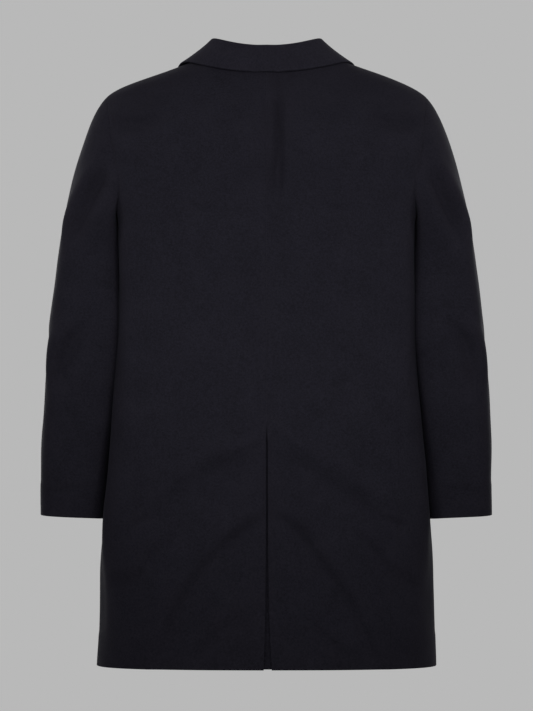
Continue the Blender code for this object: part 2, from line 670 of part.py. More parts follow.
def button(name, height, material, parent):
    """A turned button with a raised rim, seated on the left front at the centre line."""
    turn, level = locate_front(np.array(0.0), np.array(height))
    seat, normal = coat_surface(turn, level, -1)
    bm = bmesh.new()
    rings = []
    for radius, rise in BUTTON_PROFILE:
        angles = [2 * math.pi * k / BUTTON_SEGMENTS for k in range(BUTTON_SEGMENTS)]
        rings.append([bm.verts.new((radius * math.cos(a), radius * math.sin(a), rise)) for a in angles])
    for lower, upper in zip(rings, rings[1:]):
        for k in range(BUTTON_SEGMENTS):
            after = (k + 1) % BUTTON_SEGMENTS
            bm.faces.new((lower[k], lower[after], upper[after], upper[k]))
    bm.faces.new(rings[0])
    bm.faces.new(rings[-1])
    bmesh.ops.recalc_face_normals(bm, faces=bm.faces)
    mesh = bpy.data.meshes.new(name)
    bm.to_mesh(mesh)
    bm.free()
    thing = new_object(name, mesh, material, parent)
    thing.rotation_euler = Vector(normal).to_track_quat("Z", "Y").to_euler()
    thing.location = seat + normal * BUTTON_SEAT


# Materials and assembly

def principled(name, colour, roughness, sheen):
    material = bpy.data.materials.new(name)
    material.use_nodes = True
    shader = material.node_tree.nodes["Principled BSDF"]
    shader.inputs["Base Color"].default_value = colour
    shader.inputs["Roughness"].default_value = roughness
    shader.inputs["Metallic"].default_value = 0.0
    shader.inputs["Sheen Weight"].default_value = sheen
    return material


def build():
    for thing in list(bpy.data.objects):
        bpy.data.objects.remove(thing)
    wool = principled("wool", WOOL_COLOUR, 0.9, 0.3)
    horn = principled("horn", HORN_COLOUR, 0.35, 0.0)
    coat = bpy.data.objects.new("coat", None)
    bpy.context.scene.collection.objects.link(coat)
    under = ARMHOLE_STEPS - SLEEVE_SEAM_STEP
    for word, side in (("right", 1), ("left", -1)):
        back_panel("back_" + word, side, wool, coat)
        side_panel("side_" + word, side, wool, coat)
        front_panel("front_" + word, side, wool, coat)
        lapel("lapel_" + word, side, wool, coat)
        sleeve_piece("sleeve_upper_" + word, side, -SLEEVE_SEAM_STEP, SLEEVE_SEAM_STEP, wool, coat)
        sleeve_piece("sleeve_under_" + word, side, SLEEVE_SEAM_STEP, under, wool, coat)
    vent_underlap("vent_underlap", wool, coat)
    collar("collar", wool, coat)
    for number, height in enumerate(BUTTON_HEIGHTS, 1):
        button(f"button_{number}", height, horn, coat)


build()
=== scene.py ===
"""Looks of the wool overcoat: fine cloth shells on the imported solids, with folds, seams, wool and light.

Metres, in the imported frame: +X is the wearer's right, +Y their front, +Z up. The camera sees the back.
"""

import math
from collections import namedtuple

import bpy
import numpy as np
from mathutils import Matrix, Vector


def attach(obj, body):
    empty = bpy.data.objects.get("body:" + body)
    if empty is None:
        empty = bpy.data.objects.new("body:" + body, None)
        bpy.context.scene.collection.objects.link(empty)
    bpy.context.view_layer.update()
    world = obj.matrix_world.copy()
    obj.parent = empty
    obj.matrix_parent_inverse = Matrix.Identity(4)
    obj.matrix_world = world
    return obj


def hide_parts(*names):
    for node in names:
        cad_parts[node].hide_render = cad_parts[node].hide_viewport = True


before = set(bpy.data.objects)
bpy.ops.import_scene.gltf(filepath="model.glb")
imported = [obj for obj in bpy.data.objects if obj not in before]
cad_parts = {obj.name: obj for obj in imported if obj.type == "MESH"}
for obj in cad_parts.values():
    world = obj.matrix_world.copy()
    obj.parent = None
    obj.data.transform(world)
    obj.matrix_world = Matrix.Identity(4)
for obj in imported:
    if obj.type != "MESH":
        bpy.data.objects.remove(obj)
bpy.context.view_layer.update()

# Cloth and layers, close to the solids
CLOTH = 0.0025
COLLAR_CLOTH = 0.003
LAYER_GAP = 0.001
UNDERLAP_GAP = 0.0040

# Body rings from the hem to the shoulder blades, close to the solids; the last sets the slope there
Ring = namedtuple("Ring", "z half_width back front square hollow")
RINGS = (
    Ring(-0.9165, 0.2537, 0.141, 0.133, 0.16, 0.00),
    Ring(-0.8000, 0.2505, 0.139, 0.131, 0.17, 0.03),
    Ring(-0.6900, 0.2460, 0.136, 0.128, 0.20, 0.09),
    Ring(-0.5600, 0.2335, 0.131, 0.123, 0.23, 0.11),
    Ring(-0.4000, 0.2190, 0.123, 0.118, 0.26, 0.12),
    Ring(-0.2650, 0.2190, 0.129, 0.123, 0.28, 0.12),
    Ring(-0.1700, 0.2535, 0.131, 0.120, 0.25, 0.00),
    Ring(-0.0750, 0.2535, 0.131, 0.120, 0.25, 0.00),
)
HEM, CHEST, BLADE, NECK = 0, 5, 6, 7
HOLLOW_POWER = 16
QUARTER = math.pi / 2
UP = np.array((0.0, 0.0, 1.0))
TINY = 1e-12

# Shoulders
NECK_WIDTH, NECK_BACK, NECK_FRONT = 0.080, 0.061, 0.050
NECK_Z_BACK, NECK_Z_FRONT = -0.017, -0.045
SLOPE_SIDE, SLOPE_BACK, SLOPE_FRONT = 0.36, 1.15, 0.95
CORNER_CENTRE, CORNER_SIDE, CORNER_POWER = 2.5, 8.0, 6
PROFILE_STEPS = 64
SHOULDER_Z = -0.067

# Armhole and the seams beside the side panels
ARMHOLE_STEPS = 32
ARMHOLE_BOTTOM = CHEST + 0.05
ARMHOLE_BACK = math.radians(38)
ARMHOLE_FRONT = math.radians(35)
ARMHOLE_FULL = 0.9
BACK_SEAM_STEP = 11
FRONT_SEAM_STEP = 21
BACK_SEAM_TURN = math.radians(40.5)
FRONT_SEAM_TURN = math.radians(114)
SEAM_EASE = 3

# Centre-back vent: each back's share of the narrow slit, then of the flare at the hem
VENT_TOP = -0.547
VENT_SLIT = {1: 0.0017, -1: 0.0011}
VENT_FLARE = {1: 0.0075, -1: 0.0045}
VENT_FLARE_POWER = 4
VENT_SLIT_FROM = 0.12
UNDERLAP_LEVEL = 0.010
UNDERLAP_REACH = 0.034

# Front edges, roll lines and lapels, in front-view places (x, z) of the wearer's right side
EDGE_PAST_CENTRE = 0.020
BREAK_Z = -0.345
ROLL_TOP = (0.072, -0.004)
LAPEL_PEAK = (0.128, -0.120)
GORGE_Z = -0.062
LAPEL_BELLY = 0.9
LAPEL_START = {1: 0.03, -1: 0.012}
# Where the left front rises to lie over the right one, beside the centre, and the y from which it does fully
LEFT_RAISE_FROM, LEFT_RAISE_TO, LEFT_RAISE_Y = 0.070, 0.026, 0.06
# Under the left front the rolled right lapel adds its layers round this place
CROSSING_Z, CROSSING_HEIGHT, CROSSING_WIDTH, CROSSING_RAISE = -0.300, 0.060, 0.045, 0.0035
# Underside of a lapel: a half round at the roll line, then across to its edge
ROLL_RADIUS = 0.0011
ROLL_EASE = 0.12
LapelStep = namedtuple("LapelStep", "across height")
LAPEL_LIE = (
    LapelStep(0.00, 0.0022),
    LapelStep(0.08, 0.0034),
    LapelStep(0.20, 0.0040),
    LapelStep(0.40, 0.0030),
    LapelStep(0.62, 0.0021),
    LapelStep(0.82, 0.0016),
    LapelStep(1.00, 0.0013),
)

# Collar, centre back to front end, close to the solids
CollarStation = namedtuple("CollarStation", "edge_turn edge_level stand lean panel_share bulge")
COLLAR_STATIONS = (
    CollarStation(math.radians(0), 6.900, 0.0222, 0.003, 0.0, 0.002),
    CollarStation(math.radians(42), 6.890, 0.0205, 0.004, 0.0, 0.002),
    CollarStation(math.radians(84), 6.845, 0.0165, 0.003, 0.1, -0.002),
    CollarStation(math.radians(119), 6.705, 0.0080, 0.001, 0.6, 0.004),
    CollarStation(math.radians(137), 6.570, 0.0010, 0.000, 1.0, 0.005),
)
COLLAR_FOLD_RADIUS = 0.0018
COLLAR_CLEAR = 0.0003
COLLAR_SEAM = 0.0007
COLLAR_END_GAP = 0.0015
COLLAR_END_FROM = 0.72
COLLAR_END_HEIGHT = 0.003
NOTCH_AT = 0.6

# Sleeve rings, biceps to cuff, on the wearer's right
SleeveRing = namedtuple("SleeveRing", "z_out z_in x_out x_in y_mid half_depth square")
SLEEVE_RINGS = (
    SleeveRing(-0.3180, -0.3000, 0.3148, 0.2125, 0.0025, 0.0745, 0.30),
    SleeveRing(-0.4000, -0.3950, 0.3237, 0.2110, 0.0000, 0.0730, 0.34),
    SleeveRing(-0.4900, -0.4900, 0.3318, 0.2190, -0.0020, 0.0690, 0.34),
    SleeveRing(-0.5900, -0.5920, 0.3372, 0.2310, 0.0060, 0.0620, 0.32),
    SleeveRing(-0.6915, -0.6970, 0.3386, 0.2430, 0.0180, 0.0560, 0.28),
)
SLEEVE_SEAM_STEP = 13
CAP_LEAVE_TOP, CAP_LEAVE_UNDER, CAP_LEAVE_SIDE, CAP_LEAVE_BACK = 0.66, 0.20, 0.25, 0.20
CAP_PULL_OUT = 0.6
CAP_PULL_DOWN = 1.0

# Rows and columns of the fine grids
LOW_ROWS = 200
PATCH_ROWS = 84
NECK_COLUMNS = 60
SHOULDER_COLUMNS = 56
SIDE_COLUMNS = 44
LAPEL_ROWS = 90
LAPEL_ROLL_STEPS = 8
LAPEL_LIE_STEPS = 36
COLLAR_HALF_ROWS = 84
COLLAR_STAND_STEPS, COLLAR_TURN_STEPS, COLLAR_FALL_STEPS = 10, 14, 16
CAP_ROWS = 50
SLEEVE_ROWS = 110
SLEEVE_COLUMNS_PER_STEP = 5
EDGE_STEPS = 6
# How far an edge rounds over: a free edge by half the cloth, a sewn one by far less, more round the armhole
FREE, SEWN, ARMHOLE_LIP = CLOTH / 2, 0.00012, 0.0012
# Rows from the foot of the armhole over which its lip comes in
LIP_FROM, LIP_TO = -2, 6
ROUND_SHARE = 0.5
CRISP_ANGLE = math.radians(50)
# Sleeve heads: the last of the cloth turns in through the armhole, and the seam follows the body's relief
TURNED_IN, TURNED_UNDER = 0.004, 0.0004
SEAM_SHARE = 0.30
CAP_SPACING = 1.5

# Steps of the searches on the surface
SURFACE_STEP, SEARCH_STEP, CENTRE_STEP = 1e-3, 1e-4, 0.01
WIDEST_STEPS, LEVEL_STEPS, HALVINGS = 46, 400, 50
SEARCH_ROUNDS, SEARCH_LIMIT = 20, 0.1
# First guess of a place on the front, and how far past the centre front a search may go
GUESS_WIDTH, GUESS_REACH, GUESS_TOP = 0.24, 0.9, BLADE + 0.5
LAP_TURN = 0.4

# Cut of a cloth piece, flat: its width, length and area, and the pieces it is sewn to
Cut = namedtuple("Cut", "width length area sewn_to")

# Views that folds are placed in: the axis and sense of the side that each sees, and how far out on that axis
# folds begin to show and show fully
View = namedtuple("View", "axis sense none full")
BODY_VIEWS = {
    "back": View(1, -1, 0.02, 0.08),
    "front": View(1, 1, 0.02, 0.08),
    "right": View(0, 1, 0.11, 0.18),
    "left": View(0, -1, 0.11, 0.18),
}
SLEEVE_VIEWS = {
    "back": View(1, -1, 0.022, 0.055),
    "front": View(1, 1, 0.005, 0.045),
    "outside": View(0, 1, 0.26, 0.31),
}
# Folds: the line of each in its view, then its half width, the step by which the cloth above the line stands
# out and the cloth below it sinks, its depth (a ridge has a negative one) and the skew of its two sides.
# Places are (x, z) in the back and front views and (y, z) in the others.
Fold = namedtuple("Fold", "start middle end half_width step depth skew", defaults=(0.0, 0.0))
BODY_FOLDS = {
    "back": (
        # Fan from the vent's top, then the lower pair, its soft outer swell and the short outer pair
        Fold((-0.036, -0.594), (-0.096, -0.622), (-0.176, -0.690), 0.021, 0.0042),
        Fold((0.030, -0.596), (0.096, -0.630), (0.174, -0.690), 0.021, 0.0042),
        Fold((-0.044, -0.710), (-0.098, -0.766), (-0.166, -0.904), 0.011, 0.0018),
        Fold((0.042, -0.706), (0.100, -0.778), (0.170, -0.904), 0.011, 0.0018),
        Fold((-0.058, -0.708), (-0.100, -0.760), (-0.164, -0.896), 0.026, 0.0034),
        Fold((0.056, -0.706), (0.102, -0.774), (0.168, -0.898), 0.026, 0.0034),
        Fold((-0.140, -0.714), (-0.168, -0.742), (-0.194, -0.776), 0.011, 0.0022),
        Fold((0.136, -0.712), (0.164, -0.740), (0.190, -0.770), 0.011, 0.0022),
        Fold((-0.170, -0.688), (-0.184, -0.694), (-0.198, -0.702), 0.007, 0.0014),
        Fold((0.172, -0.688), (0.188, -0.695), (0.204, -0.702), 0.007, 0.0014),
        # Below the seat beside the vent, towards the hem, and at the bottom of each side
        Fold((-0.004, -0.686), (-0.028, -0.701), (-0.058, -0.726), 0.016, 0.0030),
        Fold((0.020, -0.686), (0.042, -0.699), (0.066, -0.724), 0.015, 0.0028),
        Fold((-0.044, -0.828), (-0.075, -0.857), (-0.112, -0.892), 0.013, 0.0020),
        Fold((0.060, -0.838), (0.090, -0.864), (0.125, -0.894), 0.013, 0.0020),
        Fold((-0.178, -0.768), (-0.205, -0.777), (-0.232, -0.792), 0.018, 0.0026),
        Fold((0.174, -0.765), (0.200, -0.775), (0.226, -0.790), 0.018, 0.0026),
        # Swells beside the vent and the pulls at its top
        Fold((-0.025, -0.606), (-0.036, -0.645), (-0.046, -0.688), 0.011, 0.0, -0.0018),
        Fold((0.038, -0.612), (0.041, -0.645), (0.045, -0.680), 0.011, 0.0, -0.0016),
        Fold((-0.050, -0.566), (-0.024, -0.555), (-0.001, -0.546), 0.005, 0.0, -0.0016),
        Fold((-0.052, -0.591), (-0.025, -0.581), (-0.001, -0.569), 0.005, 0.0, -0.0017),
        Fold((0.011, -0.555), (0.030, -0.570), (0.051, -0.594), 0.0055, 0.0, -0.0017),
        # The hollow beside the centre seam and the seam's own ridge below it
        Fold((0.017, -0.050), (0.018, -0.130), (0.015, -0.216), 0.0080, 0.0, 0.0108),
        Fold((-0.007, -0.075), (-0.001, -0.145), (0.002, -0.225), 0.010, 0.0, 0.0034),
        Fold((-0.006, -0.226), (-0.004, -0.384), (-0.004, -0.536), 0.0095, 0.0, -0.0022),
        # Hollows under the shoulder points, the blades, and the turn of the sides
        Fold((-0.229, -0.095), (-0.195, -0.101), (-0.154, -0.095), 0.0115, 0.0050, 0.0010),
        Fold((0.230, -0.095), (0.197, -0.101), (0.155, -0.095), 0.0115, 0.0050, 0.0010),
        Fold((-0.073, -0.084), (-0.052, -0.088), (-0.031, -0.087), 0.009, 0.0012, 0.0010),
        Fold((0.038, -0.087), (0.068, -0.093), (0.101, -0.090), 0.010, 0.0012, 0.0006),
        Fold((-0.166, -0.111), (-0.163, -0.147), (-0.157, -0.198), 0.024, 0.0, -0.0020),
        Fold((0.164, -0.117), (0.162, -0.156), (0.158, -0.204), 0.024, 0.0, -0.0020),
        Fold((-0.211, -0.252), (-0.207, -0.384), (-0.208, -0.556), 0.013, 0.0, -0.0036, -0.1),
        Fold((0.210, -0.252), (0.206, -0.384), (0.209, -0.556), 0.013, 0.0, -0.0036, 0.1),
        Fold((-0.112, -0.225), (-0.094, -0.234), (-0.076, -0.231), 0.010, 0.0010, 0.0006),
        Fold((0.083, -0.225), (0.101, -0.234), (0.119, -0.228), 0.010, 0.0010, 0.0006),
        Fold((-0.178, -0.264), (-0.154, -0.291), (-0.129, -0.323), 0.012, 0.0, 0.0012),
        Fold((0.180, -0.270), (0.158, -0.294), (0.135, -0.318), 0.011, 0.0, 0.0011),
    ),
    "front": (
        # Pulls at the buttons, then soft falls to the hem
        Fold((0.030, -0.378), (0.080, -0.358), (0.128, -0.330), 0.014, 0.0014, 0.0007, -0.2),
        Fold((-0.026, -0.380), (-0.082, -0.365), (-0.136, -0.342), 0.015, 0.0016, 0.0008, -0.1),
        Fold((0.026, -0.490), (0.070, -0.479), (0.112, -0.462), 0.012, 0.0011, 0.0006),
        Fold((-0.030, -0.600), (-0.084, -0.648), (-0.126, -0.706), 0.022, 0.0027, 0.0014, 0.2),
        Fold((0.034, -0.606), (0.093, -0.663), (0.140, -0.730), 0.023, 0.0028, 0.0014, 0.2),
        Fold((-0.070, -0.724), (-0.117, -0.800), (-0.142, -0.884), 0.026, 0.0, 0.0042, 0.1),
        Fold((0.066, -0.742), (0.118, -0.811), (0.150, -0.892), 0.026, 0.0034, 0.0018, 0.1),
        Fold((0.152, -0.176), (0.160, -0.238), (0.168, -0.300), 0.020, 0.0, 0.0022, -0.2),
        Fold((-0.156, -0.182), (-0.163, -0.237), (-0.170, -0.292), 0.020, 0.0, 0.0020, -0.2),
    ),
    "right": (
        # Sides, behind the sleeves
        Fold((0.006, -0.300), (0.008, -0.430), (0.022, -0.560), 0.022, 0.0, 0.0030, -0.1),
        Fold((-0.046, -0.600), (-0.055, -0.740), (-0.056, -0.880), 0.024, 0.0, 0.0036, 0.15),
        Fold((0.052, -0.560), (0.067, -0.716), (0.070, -0.872), 0.022, 0.0, 0.0032, 0.15),
    ),
    "left": (
        Fold((0.000, -0.310), (0.002, -0.425), (0.014, -0.540), 0.021, 0.0, 0.0028),
        Fold((-0.052, -0.580), (-0.046, -0.726), (-0.048, -0.872), 0.023, 0.0, 0.0034, -0.1),
        Fold((0.060, -0.590), (0.056, -0.738), (0.064, -0.886), 0.023, 0.0, 0.0034, 0.1),
    ),
}
# Share of a fold's length over which it fades at each end, and the factor that makes a step its full height
FOLD_FADE = 0.25
STEP_PEAK = math.sqrt(2 * math.e)
# On the sleeves, places are those of the wearer's right one
SLEEVE_FOLDS = {
    1: {
        "back": (
            Fold((0.245, -0.168), (0.272, -0.219), (0.299, -0.282), 0.0135, 0.0072, 0.0010),
            Fold((0.290, -0.410), (0.308, -0.446), (0.322, -0.496), 0.016, 0.0066, 0.0040),
            Fold((0.215, -0.357), (0.231, -0.354), (0.249, -0.345), 0.006, 0.0008, 0.0004),
            Fold((0.218, -0.453), (0.236, -0.447), (0.260, -0.432), 0.007, 0.0009, 0.0004),
            Fold((0.245, -0.642), (0.284, -0.648), (0.329, -0.654), 0.008, 0.0009),
        ),
        "front": (
            Fold((0.246, -0.188), (0.270, -0.234), (0.300, -0.276), 0.017, 0.0020, 0.0015, -0.1),
            Fold((0.226, -0.418), (0.267, -0.440), (0.312, -0.452), 0.013, 0.0022, 0.0017, -0.3),
            Fold((0.232, -0.462), (0.276, -0.471), (0.318, -0.486), 0.012, 0.0020, 0.0015, -0.2),
            Fold((0.240, -0.506), (0.273, -0.513), (0.306, -0.516), 0.011, 0.0014, 0.0011, -0.1),
        ),
        "outside": (
            Fold((-0.046, -0.400), (0.000, -0.434), (0.050, -0.462), 0.014, 0.0005, 0.0004),
        ),
    },
    -1: {
        "back": (
            Fold((0.244, -0.168), (0.271, -0.219), (0.298, -0.282), 0.0135, 0.0072, 0.0010),
            Fold((0.288, -0.412), (0.307, -0.448), (0.321, -0.494), 0.016, 0.0064, 0.0040),
            Fold((0.217, -0.354), (0.234, -0.351), (0.252, -0.344), 0.006, 0.0008, 0.0004),
            Fold((0.220, -0.450), (0.238, -0.444), (0.262, -0.430), 0.007, 0.0009, 0.0004),
            Fold((0.247, -0.642), (0.286, -0.648), (0.331, -0.654), 0.008, 0.0009),
        ),
        "front": (
            Fold((0.248, -0.192), (0.270, -0.233), (0.298, -0.270), 0.016, 0.0018, 0.0014, -0.1),
            Fold((0.226, -0.426), (0.270, -0.440), (0.316, -0.446), 0.013, 0.0022, 0.0017, -0.3),
            Fold((0.232, -0.470), (0.271, -0.487), (0.312, -0.498), 0.012, 0.0018, 0.0014, -0.2),
            Fold((0.242, -0.518), (0.271, -0.521), (0.300, -0.524), 0.011, 0.0013, 0.0010, -0.1),
        ),
        "outside": (
            Fold((-0.040, -0.406), (0.007, -0.434), (0.056, -0.456), 0.014, 0.0005, 0.0004),
        ),
    },
}
# Slight unevenness of hanging cloth: long waves in seeded directions
RIPPLE_SEED = 11
RIPPLE_WAVES = 14
RIPPLE_LENGTHS = (0.055, 0.240)
RIPPLE_SLOPE = 0.012
# Turned hems are a little thicker up to this height, and the sleeve head is a little full
HEM_HEIGHT, HEM_STEP, HEM_RELIEF = 0.045, 0.008, 0.0006
HEAD_FULLNESS, HEAD_PEAK, HEAD_END = 0.0004, 0.11, 0.66
# Cosines of the angle from the head's top at which its fullness starts and is whole
HEAD_NONE, HEAD_ALL = -0.2, 0.6

# Buttons on the centre front; the profile runs from the underside, round the rim, to the sunk face
BUTTON_HEIGHTS = (-0.374, -0.484, -0.594)
BUTTON_SEGMENTS = 64
BUTTON_SEAT = 0.0005
BUTTON_CRISP = math.radians(35)
ButtonRing = namedtuple("ButtonRing", "radius height")
BUTTON_PROFILE = (
    ButtonRing(0.0104, 0.0000),
    ButtonRing(0.0119, 0.0004),
    ButtonRing(0.0128, 0.0012),
    ButtonRing(0.0130, 0.0021),
    ButtonRing(0.0128, 0.0031),
    ButtonRing(0.0122, 0.0038),
    ButtonRing(0.0113, 0.0041),
    ButtonRing(0.0104, 0.0040),
    ButtonRing(0.0096, 0.0035),
    ButtonRing(0.0088, 0.0031),
)
HOLE_RADIUS, HOLE_PLACE, DRILL_LENGTH = 0.0011, 0.0021, 0.02
HOLE_CORNERS = ((1, 1), (-1, 1), (-1, -1), (1, -1))
# Threads: two strands over each pair of holes, low in the holes and high between them
THREAD_RADIUS, THREAD_SPACING, THREAD_POINTS = 0.0005, 0.0008, 13
THREAD_LOW, THREAD_HIGH, THREAD_FLATNESS = 0.0013, 0.0036, 6
# Buttonholes: ends and half height of the slit, and the wound cord round it
BUTTONHOLE_FROM, BUTTONHOLE_TO, BUTTONHOLE_HALF, BUTTONHOLE_POINTS = 0.004, -0.025, 0.0013, 13
BUTTONHOLE_CORD, BUTTONHOLE_SEAT = 0.0009, 0.35
STITCH_LENGTH, STITCH_POINTS, STITCH_SWELL = 0.0011, 4, 0.16
CORD_SIDES = 8
# A direction that no cord runs along
CORD_ASIDE = (0.31, 0.17, 0.93)

# Wool: the darkest and palest fibres, how much paler the collar is painted as painted light, and its grain
# for each metre
WOOL_DARK, WOOL_PALE = (0.0070, 0.0066, 0.0094), (0.0176, 0.0165, 0.0232)
COLLAR_PAINTED_LIGHT = 1.22
FIBRES, FLECKS, CLOUDS = (1500, 520, 1), 330.0, 24.0
TWILL_LINES, TWILL_SLANT = 180.0, math.radians(63)
SHEEN_TINT = (0.72, 0.72, 0.86, 1.0)
# Horn and thread: the darkest and palest, and their grain for each metre
HORN_DARK, HORN_PALE, STREAKS = (0.008, 0.007, 0.0075, 1.0), (0.030, 0.024, 0.021, 1.0), (90, 420, 420)
THREAD_DARK, THREAD_PALE, STRANDS = (0.006, 0.006, 0.009, 1.0), (0.016, 0.016, 0.022, 1.0), 2600.0

# Studio: grey surroundings that give little light, soft lights all round, and the photograph's camera
BACKGROUND, AMBIENT = 0.485, 0.27
# A pale round floor as far below the shoulders as a wearer's, out of the photograph's frame
FLOOR_Z, FLOOR_RADIUS, FLOOR_SIDES = -1.45, 6.0, 96
FLOOR_SHADE, FLOOR_GLOW, FLOOR_ROUGHNESS = 0.80, 0.32, 0.9
# A spot's size is its radius and "angle" its cone; an area's are its sides and its spread.
# A light on the wearer's right has a mirrored copy on the left.
Light = namedtuple("Light", "name kind place target size power angle")
LIGHTS = (
    Light("back", "SPOT", (1.5, -3.1, -0.25), (0.09, 0, -0.24), (0.5, 0.5), 138, 27),
    Light("back_top", "SPOT", (0.0, -2.6, 1.30), (0, 0, -0.58), (0.5, 0.5), 186, 25),
    Light("head", "SPOT", (2.2, 0.0, 0.90), (0.29, 0.0, -0.15), (0.3, 0.3), 130, 14),
    Light("front", "SPOT", (1.5, 3.1, -0.25), (0.09, 0, -0.26), (0.5, 0.5), 138, 28),
    Light("front_top", "SPOT", (0.0, 2.6, 1.30), (0, 0, -0.55), (0.5, 0.5), 186, 26),
    Light("side", "AREA", (2.6, 1.9, 0.8), (0, 0, -0.40), (1.0, 1.6), 24, 180),
)
METRES_PER_PIXEL = 0.0015
IMAGE_WIDTH, IMAGE_HEIGHT = 533, 711
ORIGIN_PIXEL = (266.7, 54.0)
CAMERA_DISTANCE = 8.0
SENSOR = 36.0


# Curves and surfaces

def hermite(start, end, start_slope, end_slope, t):
    """Cubic from start to end with the given slopes, t from 0 to 1."""
    t2, t3 = t * t, t * t * t
    return (
        (2 * t3 - 3 * t2 + 1) * start
        + (3 * t2 - 2 * t3) * end
        + (t3 - 2 * t2 + t) * start_slope
        + (t3 - t2) * end_slope
    )


def smooth_rows(table, level):
    """Rows of a table joined by curves that don't overshoot; level 0 is its first row."""
    rows = np.asarray(table, float)
    level = np.asarray(level, float)
    step = np.diff(rows, axis=0)
    slope = np.zeros_like(rows)
    slope[0], slope[-1] = step[0], step[-1]
    product = step[:-1] * step[1:]
    total = step[:-1] + step[1:]
    slope[1:-1] = np.where(product > 0, 2 * product / np.where(total == 0, 1, total), 0)
    index = np.clip(level.astype(int), 0, len(rows) - 2)
    t = (level - index)[..., None]
    return hermite(rows[index], rows[index + 1], slope[index], slope[index + 1], t)


def unit(vectors):
    return vectors / np.maximum(np.linalg.norm(vectors, axis=-1, keepdims=True), TINY)


def smoothstep(low, high, value):
    t = np.clip((value - low) / (high - low), 0, 1)
    return t * t * (3 - 2 * t)


def walked(points):
    """Length along a path at each of its points."""
    return np.concatenate(((0,), np.cumsum(np.linalg.norm(np.diff(points, axis=0), axis=-1))))


def circle(count):
    """Points of a unit circle."""
    angles = np.linspace(0, math.tau, count, endpoint=False)
    return np.stack((np.cos(angles), np.sin(angles)), axis=-1)


def ring_shape(turn, square, hollow):
    """Sideways reach of a ring of unit size at a turn."""
    return np.sin(turn) * (1 + square * np.cos(turn) ** 2 - hollow * np.abs(np.sin(turn)) ** HOLLOW_POWER)


def ring_widest(square, hollow):
    turns = np.linspace(QUARTER / 2, QUARTER, WIDEST_STEPS)
    return ring_shape(turns, square[..., None], hollow[..., None]).max(axis=-1)


def ring_point(turn, level):
    """Point of the body below the shoulder blades."""
    z, half_width, back, front, square, hollow = np.moveaxis(smooth_rows(RINGS, level), -1, 0)
    x = half_width * ring_shape(turn, square, hollow) / ring_widest(square, hollow)
    y = -np.cos(turn) * (1 + square * np.sin(turn) ** 2) * np.where(np.cos(turn) > 0, back, front)
    return np.stack((x, y, z), axis=-1)


def neck_point(turn):
    behind = np.cos(turn) > 0
    x = NECK_WIDTH * np.sin(turn)
    y = -np.cos(turn) * np.where(behind, NECK_BACK, NECK_FRONT)
    z = np.cos(turn) ** 2 * np.where(behind, NECK_Z_BACK, NECK_Z_FRONT)
    return np.stack((x, y, z), axis=-1)


def shoulder_point(turn, rise):
    """Point between the blades' ring (rise 0) and the neck ring (rise 1), by length along its profile."""
    base, neck = ring_point(turn, np.full(turn.shape, float(BLADE))), neck_point(turn)
    run = np.linalg.norm((base - neck)[..., :2], axis=-1)
    slope_centre = np.where(np.cos(turn) > 0, SLOPE_BACK, SLOPE_FRONT)
    slope = SLOPE_SIDE + (slope_centre - SLOPE_SIDE) * np.cos(turn) ** 2
    corner = CORNER_CENTRE + (CORNER_SIDE - CORNER_CENTRE) * np.abs(np.sin(turn)) ** CORNER_POWER
    drop = neck[..., 2] - slope * run - base[..., 2]

    def profile(walk):
        power = corner[..., None]
        size = (walk**power + (1 - walk) ** power) ** (1 / power)
        reach, height = walk / size, (1 - walk) / size
        return reach, neck[..., 2:] - (slope * run)[..., None] * reach - drop[..., None] * (1 - height)

    walks = np.broadcast_to(np.linspace(1, 0, PROFILE_STEPS + 1), turn.shape + (PROFILE_STEPS + 1,))
    reach, z = profile(walks)
    lengths = np.hypot(np.diff(reach, axis=-1) * run[..., None], np.diff(z, axis=-1))
    walked = np.concatenate((np.zeros(turn.shape + (1,)), np.cumsum(lengths, axis=-1)), axis=-1)
    target = np.clip(rise, 0, 1)[..., None] * walked[..., -1:]
    index = np.clip(np.sum(walked <= target, axis=-1, keepdims=True) - 1, 0, PROFILE_STEPS - 1)
    before = np.take_along_axis(walked, index, axis=-1)
    part = (target - before) / np.take_along_axis(lengths, index, axis=-1)
    reach, z = profile(np.clip(1 - (index + part) / PROFILE_STEPS, 0, 1))
    return np.concatenate((neck[..., :2] + (base - neck)[..., :2] * reach, z), axis=-1)


def body_point(turn, level):
    """Point of the smooth body surface; turn 0 is the centre back and pi the centre front."""
    turn, level = np.broadcast_arrays(np.asarray(turn, float), np.asarray(level, float))
    low = ring_point(turn, np.minimum(level, BLADE))
    return np.where((level < BLADE)[..., None], low, shoulder_point(turn, level - BLADE))


def level_of_z(turn, z, low, high):
    """Level between low and high at which the body reaches a height."""
    levels = np.linspace(low, high, LEVEL_STEPS)
    return float(np.interp(z, body_point(turn, levels)[:, 2], levels))


SHOULDER_LEVEL = level_of_z(QUARTER, SHOULDER_Z, BLADE, NECK)


def surface_normal(surface, u, v, low, high):
    """Unit normals of a surface of two coordinates, the second of them kept between low and high."""
    along = surface(u + SURFACE_STEP, v) - surface(u - SURFACE_STEP, v)
    across = surface(u, np.minimum(v + SURFACE_STEP, high)) - surface(u, np.maximum(v - SURFACE_STEP, low))
    return unit(np.cross(along, across))


def body_normal(turn, level):
    return surface_normal(body_point, turn, level, HEM, NECK)


# Relief of the cloth

def from_line(fold, u, z):
    """Share of a fold's length at places in its view, and how far they lie above its straight line."""
    (start_u, start_z), (end_u, end_z) = fold.start, fold.end
    length = math.hypot(end_u - start_u, end_z - start_z)
    to_u, to_z = (end_u - start_u) / length, (end_z - start_z) / length
    upwards = -1 if to_u > 0 else 1
    along = ((u - start_u) * to_u + (z - start_z) * to_z) / length
    return along, ((u - start_u) * to_z - (z - start_z) * to_u) * upwards


